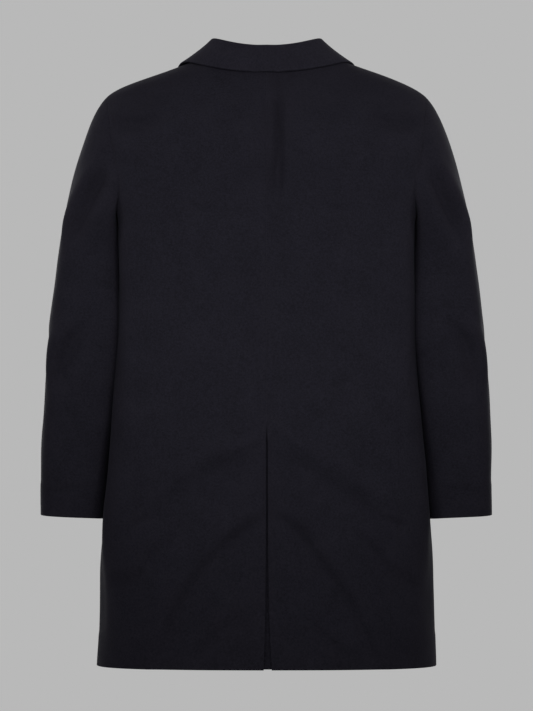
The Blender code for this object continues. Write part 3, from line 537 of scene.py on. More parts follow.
def fold_depth(point, views, folds):
    """Depth of the folds at places on the cloth, fading out at both ends of each."""
    depth = np.zeros(point.shape[:-1])
    for name, view in views.items():
        u, z = point[..., 1 - view.axis], point[..., 2]
        faced = smoothstep(view.none, view.full, view.sense * point[..., view.axis])
        for fold in folds[name]:
            along, above = from_line(fold, u, z)
            middle_along, bow = from_line(fold, *fold.middle)
            held = np.clip(along, -FOLD_FADE, 1 + FOLD_FADE)
            above = above - bow * held * (1 - held) / (middle_along * (1 - middle_along))
            across = above / (fold.half_width * np.where(above > 0, 1 + fold.skew, 1 - fold.skew))
            begun = smoothstep(-FOLD_FADE, FOLD_FADE, along)
            ended = smoothstep(1 - FOLD_FADE, 1 + FOLD_FADE, along)
            deep = fold.depth - fold.step * STEP_PEAK * across
            depth += begun * (1 - ended) * faced * deep * np.exp(-(across**2))
    return depth


def hem_relief(z, hem):
    """How far a turned hem stands out."""
    top = hem + HEM_HEIGHT
    return HEM_RELIEF * (1 - smoothstep(top, top + HEM_STEP, z))


def ripple(point):
    """Sum of the long waves at places in the frame."""
    random = np.random.default_rng(RIPPLE_SEED)
    height = np.zeros(point.shape[:-1])
    for length in np.geomspace(*RIPPLE_LENGTHS, RIPPLE_WAVES):
        direction = unit(random.normal(size=3))
        phase = random.uniform(0, math.tau)
        wave = math.tau / length
        height += RIPPLE_SLOPE / wave * np.sin(point @ direction * wave + phase)
    return height


def coat_surface(turn, level, side):
    """Outer face of the body cloth and its normal, for the wearer's right (side 1) or left (side -1)."""
    mirror = np.array((side, 1.0, 1.0))
    point, normal = body_point(turn, level) * mirror, body_normal(turn, level) * mirror
    x, y, z = np.moveaxis(point, -1, 0)
    depth = fold_depth(point, BODY_VIEWS, BODY_FOLDS) + ripple(point) - hem_relief(z, RINGS[HEM].z)
    if side < 0:
        over_right = 1 - smoothstep(LEFT_RAISE_TO, LEFT_RAISE_FROM, -x)
        crossing = np.exp(-(((z - CROSSING_Z) / CROSSING_HEIGHT) ** 2) - (x / CROSSING_WIDTH) ** 2)
        raised = (CLOTH + LAYER_GAP) * over_right + CROSSING_RAISE * crossing
        depth = depth - raised * smoothstep(0, LEFT_RAISE_Y, y)
    return point - normal * depth[..., None], normal


# Closed shells

def grid_quads(rows, columns):
    index = np.arange(rows * columns).reshape(rows, columns)
    corners = (index[:-1, :-1], index[:-1, 1:], index[1:, 1:], index[1:, :-1])
    return np.stack(corners, axis=-1).reshape(-1, 4)


def border(rows, columns):
    """Indices of a grid's border, once round."""
    index = np.arange(rows * columns).reshape(rows, columns)
    return np.concatenate((index[:, 0], index[-1, 1:], index[-2::-1, -1], index[0, -2:0:-1]))


def band(first, second):
    """Quads between closed rings of indices."""
    corners = (first, np.roll(first, -1, axis=-1), np.roll(second, -1, axis=-1), second)
    return np.stack(corners, axis=-1).reshape(-1, 4)


def new_object(name, data):
    thing = bpy.data.objects.new(name, data)
    bpy.context.scene.collection.objects.link(thing)
    return thing


def add_piece(name, mesh, material, crisp):
    """A mesh on the coat's one body, shaded smooth up to the crisp angle."""
    mesh.materials.clear()
    mesh.materials.append(material)
    mesh.shade_smooth()
    mesh.set_sharp_from_angle(angle=crisp)
    piece = new_object(name, mesh)
    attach(piece, "root")
    return piece


def new_piece(name, points, faces, material, places=None):
    """A piece made of points and quads; places are its cloth coordinates in metres."""
    mesh = bpy.data.meshes.new(name)
    mesh.from_pydata(points.tolist(), [], faces.tolist())
    if places is not None:
        layer = mesh.uv_layers.new(name="cloth")
        corner = np.empty(len(mesh.loops), np.int32)
        mesh.loops.foreach_get("vertex_index", corner)
        layer.data.foreach_set("uv", places[corner].astype(np.float32).ravel())
    return add_piece(name, mesh, material, CRISP_ANGLE)


def shell(name, face, normal, thickness, edges, material):
    """A closed sheet of cloth on a grid of points: its first and last row and column round over by edges.

    Each edge is one length or a length for each of its points.
    """
    rows, columns = face.shape[:2]
    radius = thickness / 2
    outwards = np.zeros_like(face)
    for axis in (0, 1):
        lines, push = np.moveaxis(face, axis, 0), np.moveaxis(outwards, axis, 0)
        for end, past in ((0, lines[0] - lines[1]), (-1, lines[-1] - lines[-2])):
            length = np.linalg.norm(past, axis=-1, keepdims=True)
            rounding = np.reshape(edges[2 * axis - end], (-1, 1))
            push[end] += unit(past) * np.minimum(rounding, length * ROUND_SHARE)
    outer = (face - outwards).reshape(-1, 3)
    outwards, normal = outwards.reshape(-1, 3), normal.reshape(-1, 3)
    rim = border(rows, columns)
    centre = outer[rim] - normal[rim] * radius
    bends = [
        centre + normal[rim] * radius * math.cos(angle) + outwards[rim] * math.sin(angle)
        for angle in np.linspace(0, math.pi, EDGE_STEPS + 1)[1:-1]
    ]
    points = np.concatenate((outer, outer - normal * thickness, *bends))
    size, loop = len(outer), len(rim)
    quads = grid_quads(rows, columns)
    rings = [rim] + [2 * size + loop * k + np.arange(loop) for k in range(EDGE_STEPS - 1)] + [rim + size]
    strips = [band(first, second) for first, second in zip(rings, rings[1:])]
    faces = np.concatenate((quads, quads[:, ::-1] + size, *strips))
    a, b, _, d = (outer[quads[:, k]] for k in range(4))
    if np.sum(np.cross(b - a, d - a) * normal[quads[:, 0]]) < 0:
        faces = faces[:, ::-1]
    u, v = walked(face[rows // 2]), walked(face[:, columns // 2])
    flat = np.stack(np.meshgrid(u, v), axis=-1).reshape(-1, 2)
    places = np.concatenate((flat, flat, *[flat[rim]] * len(bends)))
    return new_piece(name, points, faces, material, places)


def grid_normal(grid, towards):
    """Unit normals of a grid of points, on the side that its last column's direction points to."""
    normal = unit(np.cross(np.gradient(grid, axis=0), np.gradient(grid, axis=1)))
    same = np.sum(normal[:, -1:] * towards, axis=(0, 1, 2)) > 0
    return normal if same else -normal


def sewn(node, face, normal, thickness, edges, material):
    """The fine shell that stands for a cloth node, whose solid it hides."""
    piece = shell("wool_" + node, face, normal, thickness, edges, material)
    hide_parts(node)


# Body panels

def armhole(step):
    """Turn and level of the armhole at a step round it, 0 at the shoulder point, then the back."""
    around = np.asarray(step, float) * math.tau / ARMHOLE_STEPS
    rise = 0.5 + 0.5 * np.cos(around)
    widest = np.where(np.sin(around) > 0, ARMHOLE_BACK, -ARMHOLE_FRONT)
    reach = widest * np.abs(np.sin(around)) ** ARMHOLE_FULL
    return QUARTER - reach, ARMHOLE_BOTTOM + (SHOULDER_LEVEL - ARMHOLE_BOTTOM) * rise


def seam_turn(low_turn, step, rise):
    return low_turn + (armhole(step)[0] - low_turn) * rise**SEAM_EASE


def low_grid(inner_edge, low_turn, seam_step):
    """Turns and levels of a back or front panel below its armhole, inner edge first."""
    rise = np.linspace(0, 1, LOW_ROWS + 1)
    level = rise * armhole(seam_step)[1]
    inner, outer = inner_edge(level), seam_turn(low_turn, seam_step, rise)
    share = np.linspace(0, 1, NECK_COLUMNS + SHOULDER_COLUMNS + 1)
    turn = inner[:, None] + (outer - inner)[:, None] * share
    return np.stack((turn, level[:, None] + 0 * turn), axis=-1)


def panel_grid(inner_edge, low_turn, seam_step, shoulder_step):
    """The whole panel: its low grid, then a patch between armhole, shoulder seam, neck and inner edge."""
    low = low_grid(inner_edge, low_turn, seam_step)
    inner_level = np.linspace(low[-1, 0, 1], NECK, PATCH_ROWS + 1)
    inner = np.stack((inner_edge(inner_level), inner_level), axis=-1)
    outer = np.stack(armhole(np.linspace(seam_step, shoulder_step, PATCH_ROWS + 1)), axis=-1)
    neck_turn = np.linspace(inner[-1, 0], QUARTER, NECK_COLUMNS + 1)
    shoulder = np.linspace(NECK, SHOULDER_LEVEL, SHOULDER_COLUMNS + 1)[1:]
    top = np.stack(
        (
            np.concatenate((neck_turn, np.full(SHOULDER_COLUMNS, QUARTER))),
            np.concatenate((np.full(NECK_COLUMNS + 1, float(NECK)), shoulder)),
        ),
        axis=-1,
    )
    patch = filled_patch(low[-1], top, inner, outer)
    grid = np.concatenate((low, patch[1:]))
    return grid[..., 0], grid[..., 1]


def filled_patch(bottom, top, first, last):
    """Points inside four border rows of points, blended from the borders."""
    across = np.linspace(0, 1, len(bottom))[None, :, None]
    up = np.linspace(0, 1, len(first))[:, None, None]
    sides = (1 - across) * first[:, None] + across * last[:, None]
    ends = (1 - up) * bottom[None] + up * top[None]
    low_corners = (1 - across) * bottom[0] + across * bottom[-1]
    high_corners = (1 - across) * top[0] + across * top[-1]
    return sides + ends - (1 - up) * low_corners - up * high_corners


def panel_edge():
    """How far a panel's outer edge rounds over: along its seam, then round its armhole."""
    row = np.arange(LOW_ROWS + PATCH_ROWS + 1)
    return SEWN + (ARMHOLE_LIP - SEWN) * smoothstep(LOW_ROWS + LIP_FROM, LOW_ROWS + LIP_TO, row)


def turn_of_x(x, level):
    """Turn near the centre back at which the body surface reaches x."""
    return x / (body_point(CENTRE_STEP, level)[..., 0] / CENTRE_STEP)


def centre_back(side):
    """Turn of a back panel's centre edge as a function of level, opening below the vent's top."""
    def edge(level):
        z = body_point(0.0, level)[..., 2]
        down = np.clip((VENT_TOP - z) / (VENT_TOP - RINGS[HEM].z), 0, 1)
        slit, flare = VENT_SLIT[side], VENT_FLARE[side]
        opening = slit * smoothstep(0, VENT_SLIT_FROM, down) + (flare - slit) * down**VENT_FLARE_POWER
        return turn_of_x(opening, level)

    return edge


def back_panel(node, side, material):
    turn, level = panel_grid(centre_back(side), BACK_SEAM_TURN, BACK_SEAM_STEP, 0)
    sewn(node, *coat_surface(turn, level, side), CLOTH, (FREE, SEWN, SEWN, panel_edge()), material)


def vent_underlap(node, material):
    """A strip behind both edges of the vent, from just above the hem to the vent's top."""
    top = level_of_z(0.0, VENT_TOP, HEM, CHEST)
    level = np.linspace(UNDERLAP_LEVEL, top, LOW_ROWS // 2)[:, None]
    x = np.linspace(-UNDERLAP_REACH, UNDERLAP_REACH, SIDE_COLUMNS // 2)[None, :]
    turn = turn_of_x(1.0, level) * x
    face, normal = coat_surface(turn, level + 0 * turn, 1)
    sewn(node, face - normal * (CLOTH + UNDERLAP_GAP), normal, CLOTH, (FREE,) * 4, material)


def side_panel(node, side, material):
    steps = np.linspace(BACK_SEAM_STEP, FRONT_SEAM_STEP, SIDE_COLUMNS + 1)
    low_turn = np.linspace(BACK_SEAM_TURN, FRONT_SEAM_TURN, SIDE_COLUMNS + 1)
    rise = np.linspace(0, 1, LOW_ROWS + 1)[:, None]
    turn = seam_turn(low_turn, steps, rise)
    face, normal = coat_surface(turn, rise * armhole(steps)[1], side)
    sewn(node, face, normal, CLOTH, (FREE, ARMHOLE_LIP, SEWN, SEWN), material)


def front_edge_x(z):
    """Front-view place of the front edge, then of the roll line above the break."""
    top_x, top_z = ROLL_TOP
    share = np.clip((z - BREAK_Z) / (top_z - BREAK_Z), 0, None)
    return -EDGE_PAST_CENTRE + share * (top_x + EDGE_PAST_CENTRE)


def front_edge_turn(level):
    """Turn of the front edge or roll line at a level, found by halving."""
    low = np.full_like(level, QUARTER)
    high = np.full_like(level, math.pi + LAP_TURN)
    for _ in range(HALVINGS):
        middle = (low + high) / 2
        point = body_point(middle, level)
        outside = point[..., 0] > front_edge_x(point[..., 2])
        low = np.where(outside, middle, low)
        high = np.where(outside, high, middle)
    return middle


def front_panel(node, side, material):
    turn, level = panel_grid(front_edge_turn, FRONT_SEAM_TURN, FRONT_SEAM_STEP, ARMHOLE_STEPS)
    sewn(node, *coat_surface(turn, level, side), CLOTH, (FREE, SEWN, FREE, panel_edge()), material)


def locate_front(x, z):
    """Turn and level of the front surface at front-view places."""
    turn = math.pi - np.arcsin(np.clip(x / GUESS_WIDTH, -GUESS_REACH, GUESS_REACH))
    level = np.minimum(np.interp(z, [ring.z for ring in RINGS], range(len(RINGS))), GUESS_TOP)
    for _ in range(SEARCH_ROUNDS):
        here = body_point(turn, level)
        by_turn = (body_point(turn + SEARCH_STEP, level) - here) / SEARCH_STEP
        by_level = (body_point(turn, level + SEARCH_STEP) - here) / SEARCH_STEP
        miss_x, miss_z = x - here[..., 0], z - here[..., 2]
        area = by_turn[..., 0] * by_level[..., 2] - by_turn[..., 2] * by_level[..., 0]
        turn_by = (miss_x * by_level[..., 2] - miss_z * by_level[..., 0]) / area
        level_by = (by_turn[..., 0] * miss_z - by_turn[..., 2] * miss_x) / area
        turn = turn + np.clip(turn_by, -SEARCH_LIMIT, SEARCH_LIMIT)
        level = level + np.clip(level_by, -SEARCH_LIMIT, SEARCH_LIMIT)
        turn = np.clip(turn, QUARTER, math.pi + LAP_TURN)
        level = np.clip(level, HEM + SEARCH_STEP, NECK - SURFACE_STEP)
    return turn, level


def lapel(node, side, material):
    """A front's edge rolled back along the roll line and lying on the panel."""
    rise = np.linspace(LAPEL_START[side], 1, LAPEL_ROWS + 1)
    inner_z = BREAK_Z + (GORGE_Z - BREAK_Z) * rise
    inner_x = front_edge_x(inner_z)
    peak_x, peak_z = LAPEL_PEAK
    outer_x = -EDGE_PAST_CENTRE + (peak_x + EDGE_PAST_CENTRE) * rise**LAPEL_BELLY
    outer_z = BREAK_Z + (peak_z - BREAK_Z) * rise
    lie = smooth_rows(LAPEL_LIE, np.linspace(0, len(LAPEL_LIE) - 1, LAPEL_LIE_STEPS + 1))
    angle = np.linspace(-QUARTER, QUARTER, LAPEL_ROLL_STEPS + 1)[:-1]
    across = np.concatenate((0 * angle, lie[:, 0]))
    height = np.concatenate((ROLL_RADIUS * (1 + np.sin(angle)), lie[:, 1]))
    past = np.concatenate((ROLL_RADIUS * np.cos(angle), 0 * lie[:, 0]))
    x = inner_x[:, None] + (outer_x - inner_x)[:, None] * across
    z = inner_z[:, None] + (outer_z - inner_z)[:, None] * across
    turn, level = locate_front(x, z)
    face, normal = coat_surface(turn, level, side)
    to_opening = unit(face[:, 0] - face[:, -1])[:, None]
    eased = smoothstep(0, ROLL_EASE, rise)[:, None, None]
    face = face + eased * (normal * height[:, None] + to_opening * past[:, None])
    up = grid_normal(face, normal[:, -1:])
    sewn(node, face + up * CLOTH, up, CLOTH, (FREE,) * 4, material)


# Collar

def neck_path(share):
    """Turns and levels down the neck seam and roll line, from the centre back to the front end."""
    ring = np.linspace(0, front_edge_turn(np.array([float(NECK)]))[0], LEVEL_STEPS // 2)
    levels = np.linspace(NECK, BLADE, LEVEL_STEPS)
    turn = np.concatenate((ring, front_edge_turn(levels)[1:]))
    level = np.concatenate((np.full(len(ring), float(NECK)), levels[1:]))
    points = body_point(turn, level)
    last = int(np.argmax((points[:, 2] < GORGE_Z) & (np.arange(len(turn)) >= len(ring)))) + 1
    length = walked(points[:last])
    at = np.asarray(share) * (length[-1] - COLLAR_END_GAP)
    return np.interp(at, length, turn[:last]), np.interp(at, length, level[:last])


def collar_section(share):
    """The collar's underside on the wearer's right: rows along the neck, columns over the fold."""
    columns = np.moveaxis(smooth_rows(COLLAR_STATIONS, share * (len(COLLAR_STATIONS) - 1)), -1, 0)
    edge_turn, edge_level, stand, lean, panel_share, bulge = (column[:, None] for column in columns)
    turn, level = neck_path(share)
    seam, panel_normal = coat_surface(turn, level, 1)
    edge, edge_normal = coat_surface(edge_turn[:, 0], edge_level[:, 0], 1)
    edge = edge + edge_normal * COLLAR_CLEAR
    level_out = unit(panel_normal * (1, 1, 0))
    upright = unit(UP - level_out * lean / stand)
    rising = unit(upright * (1 - panel_share) + panel_normal * panel_share)
    seam = seam + rising * COLLAR_SEAM
    fold = seam + rising * stand
    reach = edge - fold
    outwards = unit(reach - rising * np.sum(reach * rising, axis=1, keepdims=True))
    drop = np.arctan2(-np.sum(reach * rising, axis=1), np.sum(reach * outwards, axis=1))
    rows = [seam + rising * stand * part for part in np.linspace(0, 1, COLLAR_STAND_STEPS + 1)]
    for part in np.linspace(0, 1, COLLAR_TURN_STEPS + 1)[1:]:
        angle = (part * (QUARTER + drop))[:, None]
        rows.append(fold + COLLAR_FOLD_RADIUS * (outwards * (1 - np.cos(angle)) + rising * np.sin(angle)))
    top = rows[-1]
    up = unit(np.cross(np.gradient(edge, axis=0), edge - top))
    up = up * np.sign(np.sum(up * edge_normal, axis=1, keepdims=True))
    at_end = smoothstep(COLLAR_END_FROM, 1, share)[:, None]
    for part in np.linspace(0, 1, COLLAR_FALL_STEPS + 1)[1:]:
        straight = top + (edge - top) * part + up * bulge * 4 * part * (1 - part)
        rows.append(straight + at_end * (collar_end(part) - straight[-1]))
    return np.stack(rows, axis=1)


def collar_end(part):
    """The collar's front end: along the lapel's top edge to the notch, then out to its tip."""
    gorge = np.array((front_edge_x(np.array(GORGE_Z)), GORGE_Z))
    notch = gorge + (np.array(LAPEL_PEAK) - gorge) * NOTCH_AT
    tip = body_point(*COLLAR_STATIONS[-1][:2])[[0, 2]]
    if part > NOTCH_AT:
        place = notch + (tip - notch) * (part - NOTCH_AT) / (1 - NOTCH_AT)
    else:
        place = gorge + (notch - gorge) * part / NOTCH_AT
    face, normal = coat_surface(*locate_front(place[0], place[1] + COLLAR_END_GAP), 1)
    return face + normal * COLLAR_END_HEIGHT


def collar(node, material):
    share = np.linspace(0, 1, COLLAR_HALF_ROWS + 1)
    right = collar_section(share)
    left = right[:0:-1] * (-1, 1, 1)
    grid = np.concatenate((left, right))
    normal = grid_normal(grid, UP)
    edges = (COLLAR_CLOTH / 2,) * 4
    sewn(node, grid + normal * COLLAR_CLOTH, normal, COLLAR_CLOTH, edges, material)


# Sleeves

def sleeve_seam(around):
    """Turn and level of the armhole at an angle round the sleeve, 0 at the shoulder point."""
    return armhole(around / math.tau * ARMHOLE_STEPS)


def sleeve_ring(around, level):
    rings = smooth_rows(SLEEVE_RINGS, level)
    z_out, z_in, x_out, x_in, y_mid, half_depth, square = np.moveaxis(rings, -1, 0)
    outer = 0.5 + 0.5 * np.cos(around)
    x = (x_out + x_in) / 2 + (x_out - x_in) / 2 * np.cos(around) * (1 + square * np.sin(around) ** 2)
    y = y_mid - half_depth * np.sin(around) * (1 + square * np.cos(around) ** 2)
    return np.stack((x, y, z_in + (z_out - z_in) * outer), axis=-1)


def sleeve_cap(around, share):
    """The sleeve from the armhole to its biceps ring, leaving the shoulder outwards and down."""
    start = body_point(*sleeve_seam(around))
    end = sleeve_ring(around, 0 * around)
    down = unit(sleeve_ring(around, 0 * around + SURFACE_STEP) - end)
    top = 0.5 + 0.5 * np.cos(around)
    x = CAP_LEAVE_UNDER + (CAP_LEAVE_TOP - CAP_LEAVE_UNDER) * top + CAP_LEAVE_SIDE * np.sin(around) ** 2
    y = -CAP_LEAVE_BACK * np.sin(around)
    leaving = np.stack((x, y, -np.sqrt(1 - x * x - y * y)), axis=-1)
    length = np.linalg.norm(end - start, axis=-1, keepdims=True)
    out, in_line = leaving * length * CAP_PULL_OUT, down * length * CAP_PULL_DOWN
    return hermite(start, end, out, in_line, share[..., None])


def sleeve_point(around, along):
    """Sleeve surface: along 0 to 1 over the cap, then one unit for each ring below."""
    around, along = np.broadcast_arrays(np.asarray(around, float), np.asarray(along, float))
    cap = sleeve_cap(around, np.clip(along, 0, 1))
    arm = sleeve_ring(around, np.clip(along - 1, 0, len(SLEEVE_RINGS) - 1))
    return np.where((along < 1)[..., None], cap, arm)


def sleeve_surface(around, along, side):
    """Outer face of a sleeve and its normal, on the side given."""
    point = sleeve_point(around, along)
    normal = surface_normal(sleeve_point, around, along, 0, len(SLEEVE_RINGS))
    mirror = np.array((side, 1.0, 1.0))
    off_seam = smoothstep(0, SEAM_SHARE, along)
    depth = fold_depth(point, SLEEVE_VIEWS, SLEEVE_FOLDS[side]) + ripple(point * mirror)
    head = smoothstep(0, HEAD_PEAK, along) * (1 - smoothstep(HEAD_PEAK, HEAD_END, along))
    depth = depth * off_seam - HEAD_FULLNESS * head * smoothstep(HEAD_NONE, HEAD_ALL, np.cos(around))
    depth = depth - hem_relief(point[..., 2], SLEEVE_RINGS[-1].z_out)
    seam = sleeve_seam(around)
    body_relief = coat_surface(*seam, side)[0] * mirror - body_point(*seam)
    point = point - normal * depth[..., None] + body_relief * (1 - off_seam)[..., None]
    return point * mirror, normal * mirror


def sleeve_piece(node, side, first_step, last_step, material):
    columns = (last_step - first_step) * SLEEVE_COLUMNS_PER_STEP
    around = np.linspace(first_step, last_step, columns + 1) * math.tau / ARMHOLE_STEPS
    cap = np.linspace(0, 1, CAP_ROWS + 1) ** CAP_SPACING
    arm = np.linspace(1, len(SLEEVE_RINGS), SLEEVE_ROWS + 1)[1:]
    along = np.concatenate((cap, arm))
    face, normal = sleeve_surface(around[None, :], along[:, None], side)
    inwards = -body_normal(*sleeve_seam(around)) * (side, 1, 1)
    under = unit(np.cross(inwards, np.gradient(face[0], axis=0))) * side
    turned = face[0] + inwards * TURNED_IN + under * TURNED_UNDER
    face, normal = np.concatenate((turned[None], face)), np.concatenate((under[None], normal))
    sewn(node, face, normal, CLOTH, (SEWN, FREE, SEWN, SEWN), material)


# Materials

def node_material(name):
    material = bpy.data.materials.new(name)
    material.use_nodes = True
    tree = material.node_tree
    return material, tree, tree.nodes["Principled BSDF"]


def grey(level):
    return (level, level, level, 1.0)


def set_sockets(node, **values):
    """Set a node's sockets by name."""
    for socket, value in values.items():
        node.inputs[socket.replace("_", " ")].default_value = value


def add_node(tree, kind, place=None, **values):
    """A node with its sockets set and, where it takes one, the place it works on."""
    node = tree.nodes.new(kind)
    set_sockets(node, **values)
    if place is not None:
        tree.links.new(place, node.inputs["Vector"])
    return node


def mapped(tree, place, **values):
    return add_node(tree, "ShaderNodeMapping", place, **values).outputs["Vector"]


def noise(tree, place, scale=1.0, detail=3.0):
    node = add_node(tree, "ShaderNodeTexNoise", place, Scale=scale, Detail=detail, Roughness=0.6)
    return node.outputs["Fac"]


def mixed(tree, first, second, share):
    """Weighted sum of two heights: first times (1 - share) and second times share."""
    node = add_node(tree, "ShaderNodeMix", Factor=share)
    tree.links.new(first, node.inputs["A"])
    tree.links.new(second, node.inputs["B"])
    return node.outputs["Result"]


def paint(tree, socket, value, *stops):
    """Drive a socket by a value through two stops, each a position and its colour."""
    node = tree.nodes.new("ShaderNodeValToRGB")
    for element, stop in zip(node.color_ramp.elements, stops):
        element.position, element.color = stop
    tree.links.new(value, node.inputs["Fac"])
    tree.links.new(node.outputs["Color"], socket)


def bump(tree, shader, height, strength, distance):
    node = add_node(tree, "ShaderNodeBump", Strength=strength, Distance=distance)
    tree.links.new(height, node.inputs["Height"])
    tree.links.new(node.outputs["Normal"], shader.inputs["Normal"])


def wool(name, painted_light):
    """Napped navy-black wool, paler by painted light: short fibres over a fine twill, with clouds in its
    tone.
    """
    material, tree, shader = node_material(name)
    places = tree.nodes.new("ShaderNodeTexCoord").outputs
    fibre = noise(tree, mapped(tree, places["UV"], Scale=FIBRES))
    fleck = noise(tree, places["Object"], FLECKS)
    cloud = noise(tree, places["Object"], CLOUDS, detail=2.0)
    slanted = mapped(tree, places["UV"], Rotation=(0, 0, TWILL_SLANT))
    twill = add_node(tree, "ShaderNodeTexWave", slanted, Scale=TWILL_LINES, Distortion=1.5, Detail=1.0)
    nap = mixed(tree, fibre, fleck, share=0.5)
    shade = mixed(tree, nap, cloud, share=0.12)
    # Painted light: a factor above one paints the whole wool paler, as it does for the collar
    dark, pale = ((*np.multiply(colour, painted_light), 1) for colour in (WOOL_DARK, WOOL_PALE))
    paint(tree, shader.inputs["Base Color"], shade, (0.36, dark), (0.66, pale))
    paint(tree, shader.inputs["Roughness"], nap, (0.3, grey(0.82)), (0.7, grey(0.95)))
    grain = mixed(tree, nap, twill.outputs["Fac"], share=0.25)
    bump(tree, shader, grain, strength=0.35, distance=0.0006)
    set_sockets(shader, Specular_IOR_Level=0.025)
    set_sockets(shader, Sheen_Weight=0.008, Sheen_Roughness=0.45, Sheen_Tint=SHEEN_TINT)
    return material


def horn():
    """Satin dark horn with faint streaks."""
    material, tree, shader = node_material("button_horn")
    places = tree.nodes.new("ShaderNodeTexCoord").outputs
    streak = noise(tree, mapped(tree, places["Object"], Scale=STREAKS), detail=4.0)
    paint(tree, shader.inputs["Base Color"], streak, (0.35, HORN_DARK), (0.75, HORN_PALE))
    paint(tree, shader.inputs["Roughness"], streak, (0.3, grey(0.36)), (0.7, grey(0.48)))
    bump(tree, shader, streak, strength=0.12, distance=0.0002)
    set_sockets(shader, Specular_IOR_Level=0.25)
    return material


def thread():
    """Twisted dark sewing thread."""
    material, tree, shader = node_material("thread")
    places = tree.nodes.new("ShaderNodeTexCoord").outputs
    strand = noise(tree, places["Object"], STRANDS, detail=2.0)
    paint(tree, shader.inputs["Base Color"], strand, (0.35, THREAD_DARK), (0.7, THREAD_PALE))
    bump(tree, shader, strand, strength=0.4, distance=0.0002)
    set_sockets(shader, Roughness=0.6)
    return material


# Buttons, threads and buttonholes

def cord(name, path, radius, closed, material):
    """A round cord along a path of points."""
    ahead = np.roll(path, -1, axis=0) - np.roll(path, 1, axis=0)
    if not closed:
        ahead[0], ahead[-1] = path[1] - path[0], path[-1] - path[-2]
    ahead = unit(ahead)
    across = unit(np.cross(ahead, CORD_ASIDE))
    up = np.cross(across, ahead)
    rings = path[:, None] + radius * (circle(CORD_SIDES) @ np.stack((across, up), axis=1))
    index = np.arange(len(path) * CORD_SIDES).reshape(-1, CORD_SIDES)
    faces = band(index, np.roll(index, -1, axis=0)) if closed else band(index[:-1], index[1:])
    new_piece(name, rings.reshape(-1, 3), faces, material)


def button_seat(height):
    """Place of a button on the left front, and the matrix that turns it to lie there."""
    seat, out = coat_surface(*locate_front(np.array(0.0), np.array(height)), -1)
    across = unit(np.cross(UP, out))
    return seat + out * BUTTON_SEAT, np.stack((across, np.cross(out, across), out), axis=-1)


def turned_button():
    """Mesh of a four-hole button with a raised rim, its underside on the XY plane."""
    radius, height = np.array(BUTTON_PROFILE).T
    rings = radius[:, None, None] * circle(BUTTON_SEGMENTS)
    heights = np.broadcast_to(height[:, None, None], rings.shape[:2] + (1,))
    points = np.concatenate((rings, heights), axis=-1).reshape(-1, 3)
    index = np.arange(len(points)).reshape(-1, BUTTON_SEGMENTS)
    faces = band(index[:-1], index[1:]).tolist() + [index[0, ::-1].tolist(), index[-1].tolist()]
    mesh = bpy.data.meshes.new("button")
    mesh.from_pydata(points.tolist(), [], faces)
    blank = new_object("blank", mesh)
    helpers = [blank]
    for x, y in HOLE_CORNERS:
        place = (x * HOLE_PLACE, y * HOLE_PLACE, 0)
        bpy.ops.mesh.primitive_cylinder_add(radius=HOLE_RADIUS, depth=DRILL_LENGTH, location=place)
        helpers.append(bpy.context.object)
        blank.modifiers.new("hole", "BOOLEAN").object = helpers[-1]
    bpy.context.view_layer.update()
    drilled = bpy.data.meshes.new_from_object(blank.evaluated_get(bpy.context.evaluated_depsgraph_get()))
    for helper in helpers:
        bpy.data.objects.remove(helper)
    return drilled


def button(number, height, horn_material, thread_material):
    """A horn button on the left front with its two bars of thread."""
    seat, to_frame = button_seat(height)
    mesh = turned_button()
    points = np.array([vertex.co for vertex in mesh.vertices]) @ to_frame.T + seat
    mesh.vertices.foreach_set("co", points.astype(np.float32).ravel())
    mesh.update()
    piece = add_piece(f"horn_button_{number}", mesh, horn_material, BUTTON_CRISP)
    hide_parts(f"button_{number}")
    t = np.linspace(-1, 1, THREAD_POINTS)
    rise = THREAD_LOW + (THREAD_HIGH - THREAD_LOW) * (1 - t**THREAD_FLATNESS)
    for bar, y in enumerate((-HOLE_PLACE, HOLE_PLACE), 1):
        for letter, aside in (("a", -THREAD_SPACING / 2), ("b", THREAD_SPACING / 2)):
            path = np.stack((t * HOLE_PLACE, y + aside + 0 * t, rise), axis=-1) @ to_frame.T + seat
            cord(f"thread_{number}_{bar}_{letter}", path, THREAD_RADIUS, False, thread_material)


def buttonhole(number, height, material):
    """A stitched buttonhole on the left front: a cord round a slit, wound with thread."""
    half = np.linspace(-QUARTER, QUARTER, BUTTONHOLE_POINTS)
    bow = BUTTONHOLE_HALF * np.stack((np.cos(half), np.sin(half)), axis=-1)
    right, left = bow + (BUTTONHOLE_FROM, 0), (BUTTONHOLE_TO, 0) - bow
    outline = np.concatenate((right, left, right[:1]))
    length = walked(outline)
    count = int(length[-1] / STITCH_LENGTH) * STITCH_POINTS
    at = np.linspace(0, length[-1], count, endpoint=False)
    x, z = (np.interp(at, length, outline[:, k]) for k in range(2))
    face, normal = coat_surface(*locate_front(-x, height + z), -1)
    swell = 1 + STITCH_SWELL * np.cos(np.arange(count) * math.tau / STITCH_POINTS)
    path = face + normal * (BUTTONHOLE_CORD * BUTTONHOLE_SEAT * swell)[:, None]
    cord(f"buttonhole_{number}", path, BUTTONHOLE_CORD, True, material)


# Studio

def studio():
    """Surroundings that light the coat a little and are the photograph's grey to the camera."""
    scene = bpy.context.scene
    scene.view_settings.view_transform = "Standard"
    scene.world = bpy.data.worlds.new("studio")
    scene.world.use_nodes = True
    tree = scene.world.node_tree
    ambient = tree.nodes["Background"]
    set_sockets(ambient, Color=grey(AMBIENT))
    seen = add_node(tree, "ShaderNodeBackground", Color=grey(BACKGROUND))
    ray = tree.nodes.new("ShaderNodeLightPath")
    choice = tree.nodes.new("ShaderNodeMixShader")
    chosen_from = (ray.outputs["Is Camera Ray"], ambient.outputs["Background"], seen.outputs["Background"])
    for output, socket in zip(chosen_from, choice.inputs):
        tree.links.new(output, socket)
    tree.links.new(choice.outputs["Shader"], tree.nodes["World Output"].inputs["Surface"])


